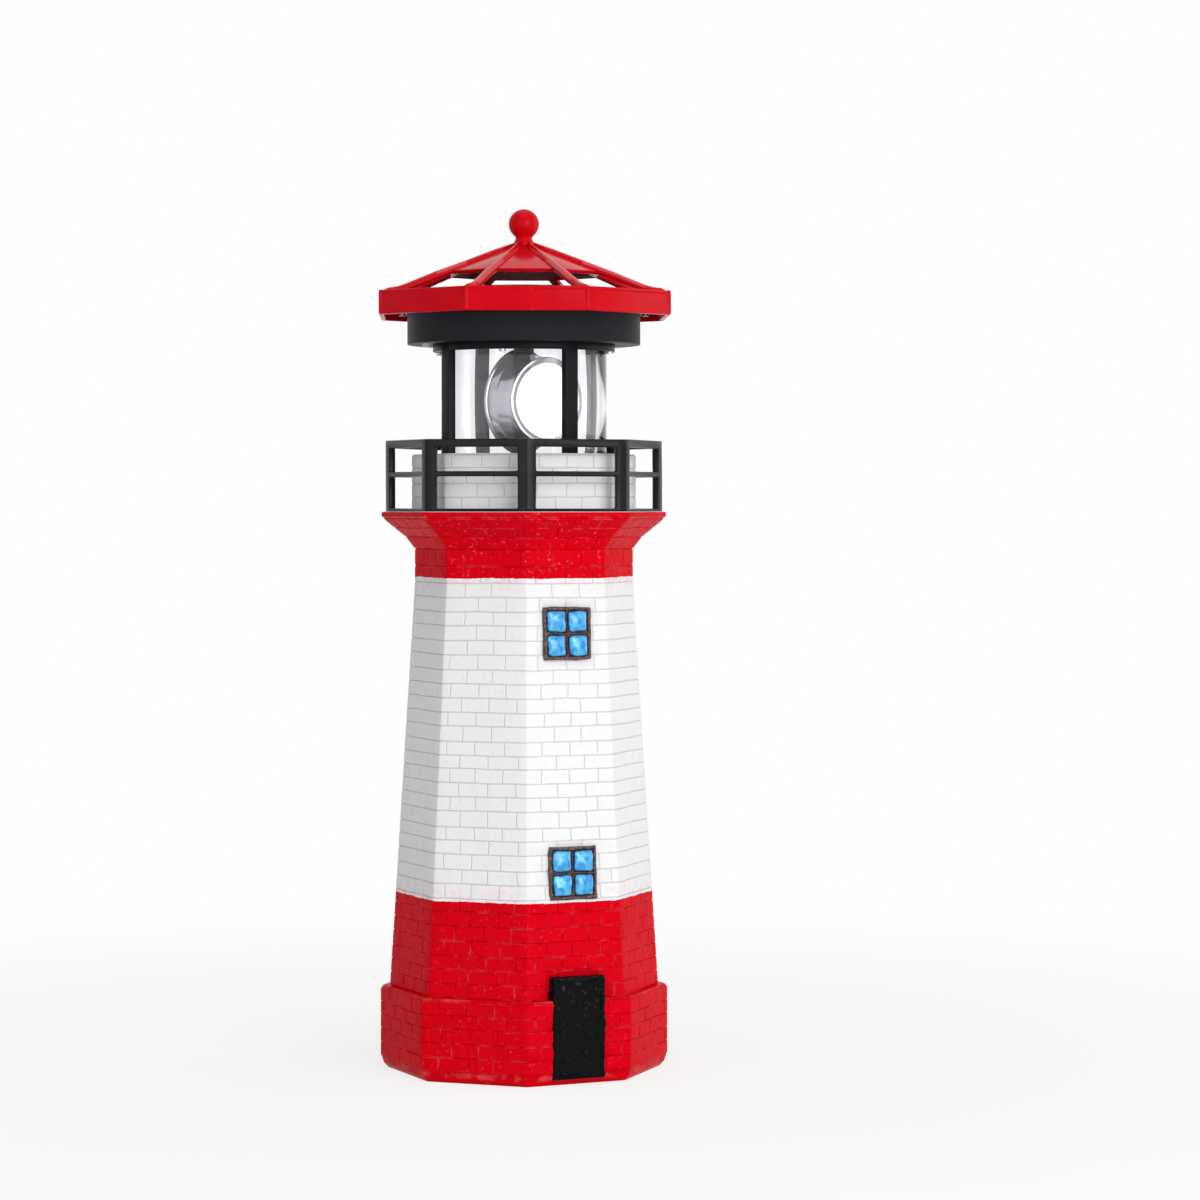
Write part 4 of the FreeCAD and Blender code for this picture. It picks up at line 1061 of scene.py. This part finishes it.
SLOT_OF = {entry["node"]: entry["material_slot"] for entry in frame["record"]["subparts"]}
for name, obj in nodes.items():
    # the LED stalk takes the bowl's plating, with its painted glow
    finish = FINISHES["bowl_plating" if name == "led_stalk" else SLOT_OF[name]]
    if obj.data.materials:
        for k in range(len(obj.data.materials)):
            obj.data.materials[k] = finish
    else:
        obj.data.materials.append(finish)


# ---------------------------------------------------------------- studio

def floor_finish():
    """Pale floor that stays nearly white to the eye and keeps the shadow."""
    f = Finish("studio_floor")
    ray = f.node("LightPath", None, None, 0)
    glossy = f.node("LightPath", None, None, 3)
    through = f.node("LightPath", None, None, 6)
    seen = f.clamp(ray + glossy + through)
    away = f.node("VectorMath", {"operation": "LENGTH"}, {0: f.place()}, 1)
    far = f.clamp((away - 0.06) / 0.40)
    paint = f.node("BsdfDiffuse", None, {"Color": (0.86, 0.86, 0.86, 1)})
    glow = f.node("Emission", None, {"Color": (1, 1, 1, 1), "Strength": 1.0})
    both = f.node("MixShader", None, {0: seen * (0.78 + 0.22 * far), 1: paint, 2: glow})
    f.node("OutputMaterial", None, {0: both})
    return f.material


def studio():
    deselect()
    bpy.ops.mesh.primitive_circle_add(vertices=64, radius=6.0, fill_type="NGON", location=(0, 0, 0))
    floor = put(named("studio_floor"), Matrix.Translation((0, 0, -0.1 * MM)))
    floor.data.materials.append(floor_finish())

    world = bpy.data.worlds.new("studio_world")
    bpy.context.scene.world = world
    world.use_nodes = True
    tree = world.node_tree
    tree.nodes.clear()
    path = tree.nodes.new("ShaderNodeLightPath")

    def add(a, b):
        made = tree.nodes.new("ShaderNodeMath")
        made.operation, made.use_clamp = "ADD", True
        tree.links.new(a, made.inputs[0])
        tree.links.new(b, made.inputs[1])
        return made.outputs[0]
    seen = add(path.outputs["Is Camera Ray"], path.outputs["Is Glossy Ray"])
    seen = add(seen, path.outputs["Is Transmission Ray"])
    fill = tree.nodes.new("ShaderNodeBackground")
    fill.inputs[0].default_value, fill.inputs[1].default_value = (0.97, 0.98, 1.0, 1), 0.33
    white = tree.nodes.new("ShaderNodeBackground")
    white.inputs[0].default_value, white.inputs[1].default_value = (1, 1, 1, 1), 1.0
    blend = tree.nodes.new("ShaderNodeMixShader")
    out = tree.nodes.new("ShaderNodeOutputWorld")
    tree.links.new(seen, blend.inputs[0])
    tree.links.new(fill.outputs[0], blend.inputs[1])
    tree.links.new(white.outputs[0], blend.inputs[2])
    tree.links.new(blend.outputs[0], out.inputs[0])

    middle = Vector((0, 0, 0.13))

    def softbox(name, place, size, power):
        data = bpy.data.lights.new(name, "AREA")
        data.shape, data.size, data.size_y, data.energy = "RECTANGLE", size[0], size[1], power
        lamp = bpy.data.objects.new(name, data)
        bpy.context.scene.collection.objects.link(lamp)
        lamp.location = place
        aim = middle - Vector(place)
        lamp.rotation_euler = aim.to_track_quat("-Z", "Y").to_euler()
    softbox("key_front_right", (0.60, -1.20, 0.50), (0.9, 0.9), 10.8)
    softbox("fill_front_left", (-0.75, -1.15, 0.35), (0.8, 1.0), 2.8)
    softbox("top", (0.0, -0.1, 1.3), (1.0, 1.0), 3.6)
    softbox("edge_right", (1.1, 0.1, 0.3), (0.4, 1.0), 2.3)

    cam_data = bpy.data.cameras.new("camera")
    cam = bpy.data.objects.new("camera", cam_data)
    bpy.context.scene.collection.objects.link(cam)
    bpy.context.scene.camera = cam
    photo_px, focal_px, right_px, down_px = 1200, 3652, 76, 94
    reach, azimuth = 1.15, math.radians(-1.16)
    cam.location = (reach * math.sin(azimuth), -reach * math.cos(azimuth), 0.1768)
    cam_data.sensor_width = 36.0
    cam_data.lens = focal_px / photo_px * cam_data.sensor_width
    cam_data.clip_start, cam_data.clip_end = 0.05, 30
    yaw = azimuth - math.atan(right_px / focal_px)
    pitch = -math.atan(down_px / focal_px)
    cam.rotation_euler = (math.radians(90) + pitch, 0, yaw)


studio()
bpy.context.scene.view_settings.view_transform = "Standard"
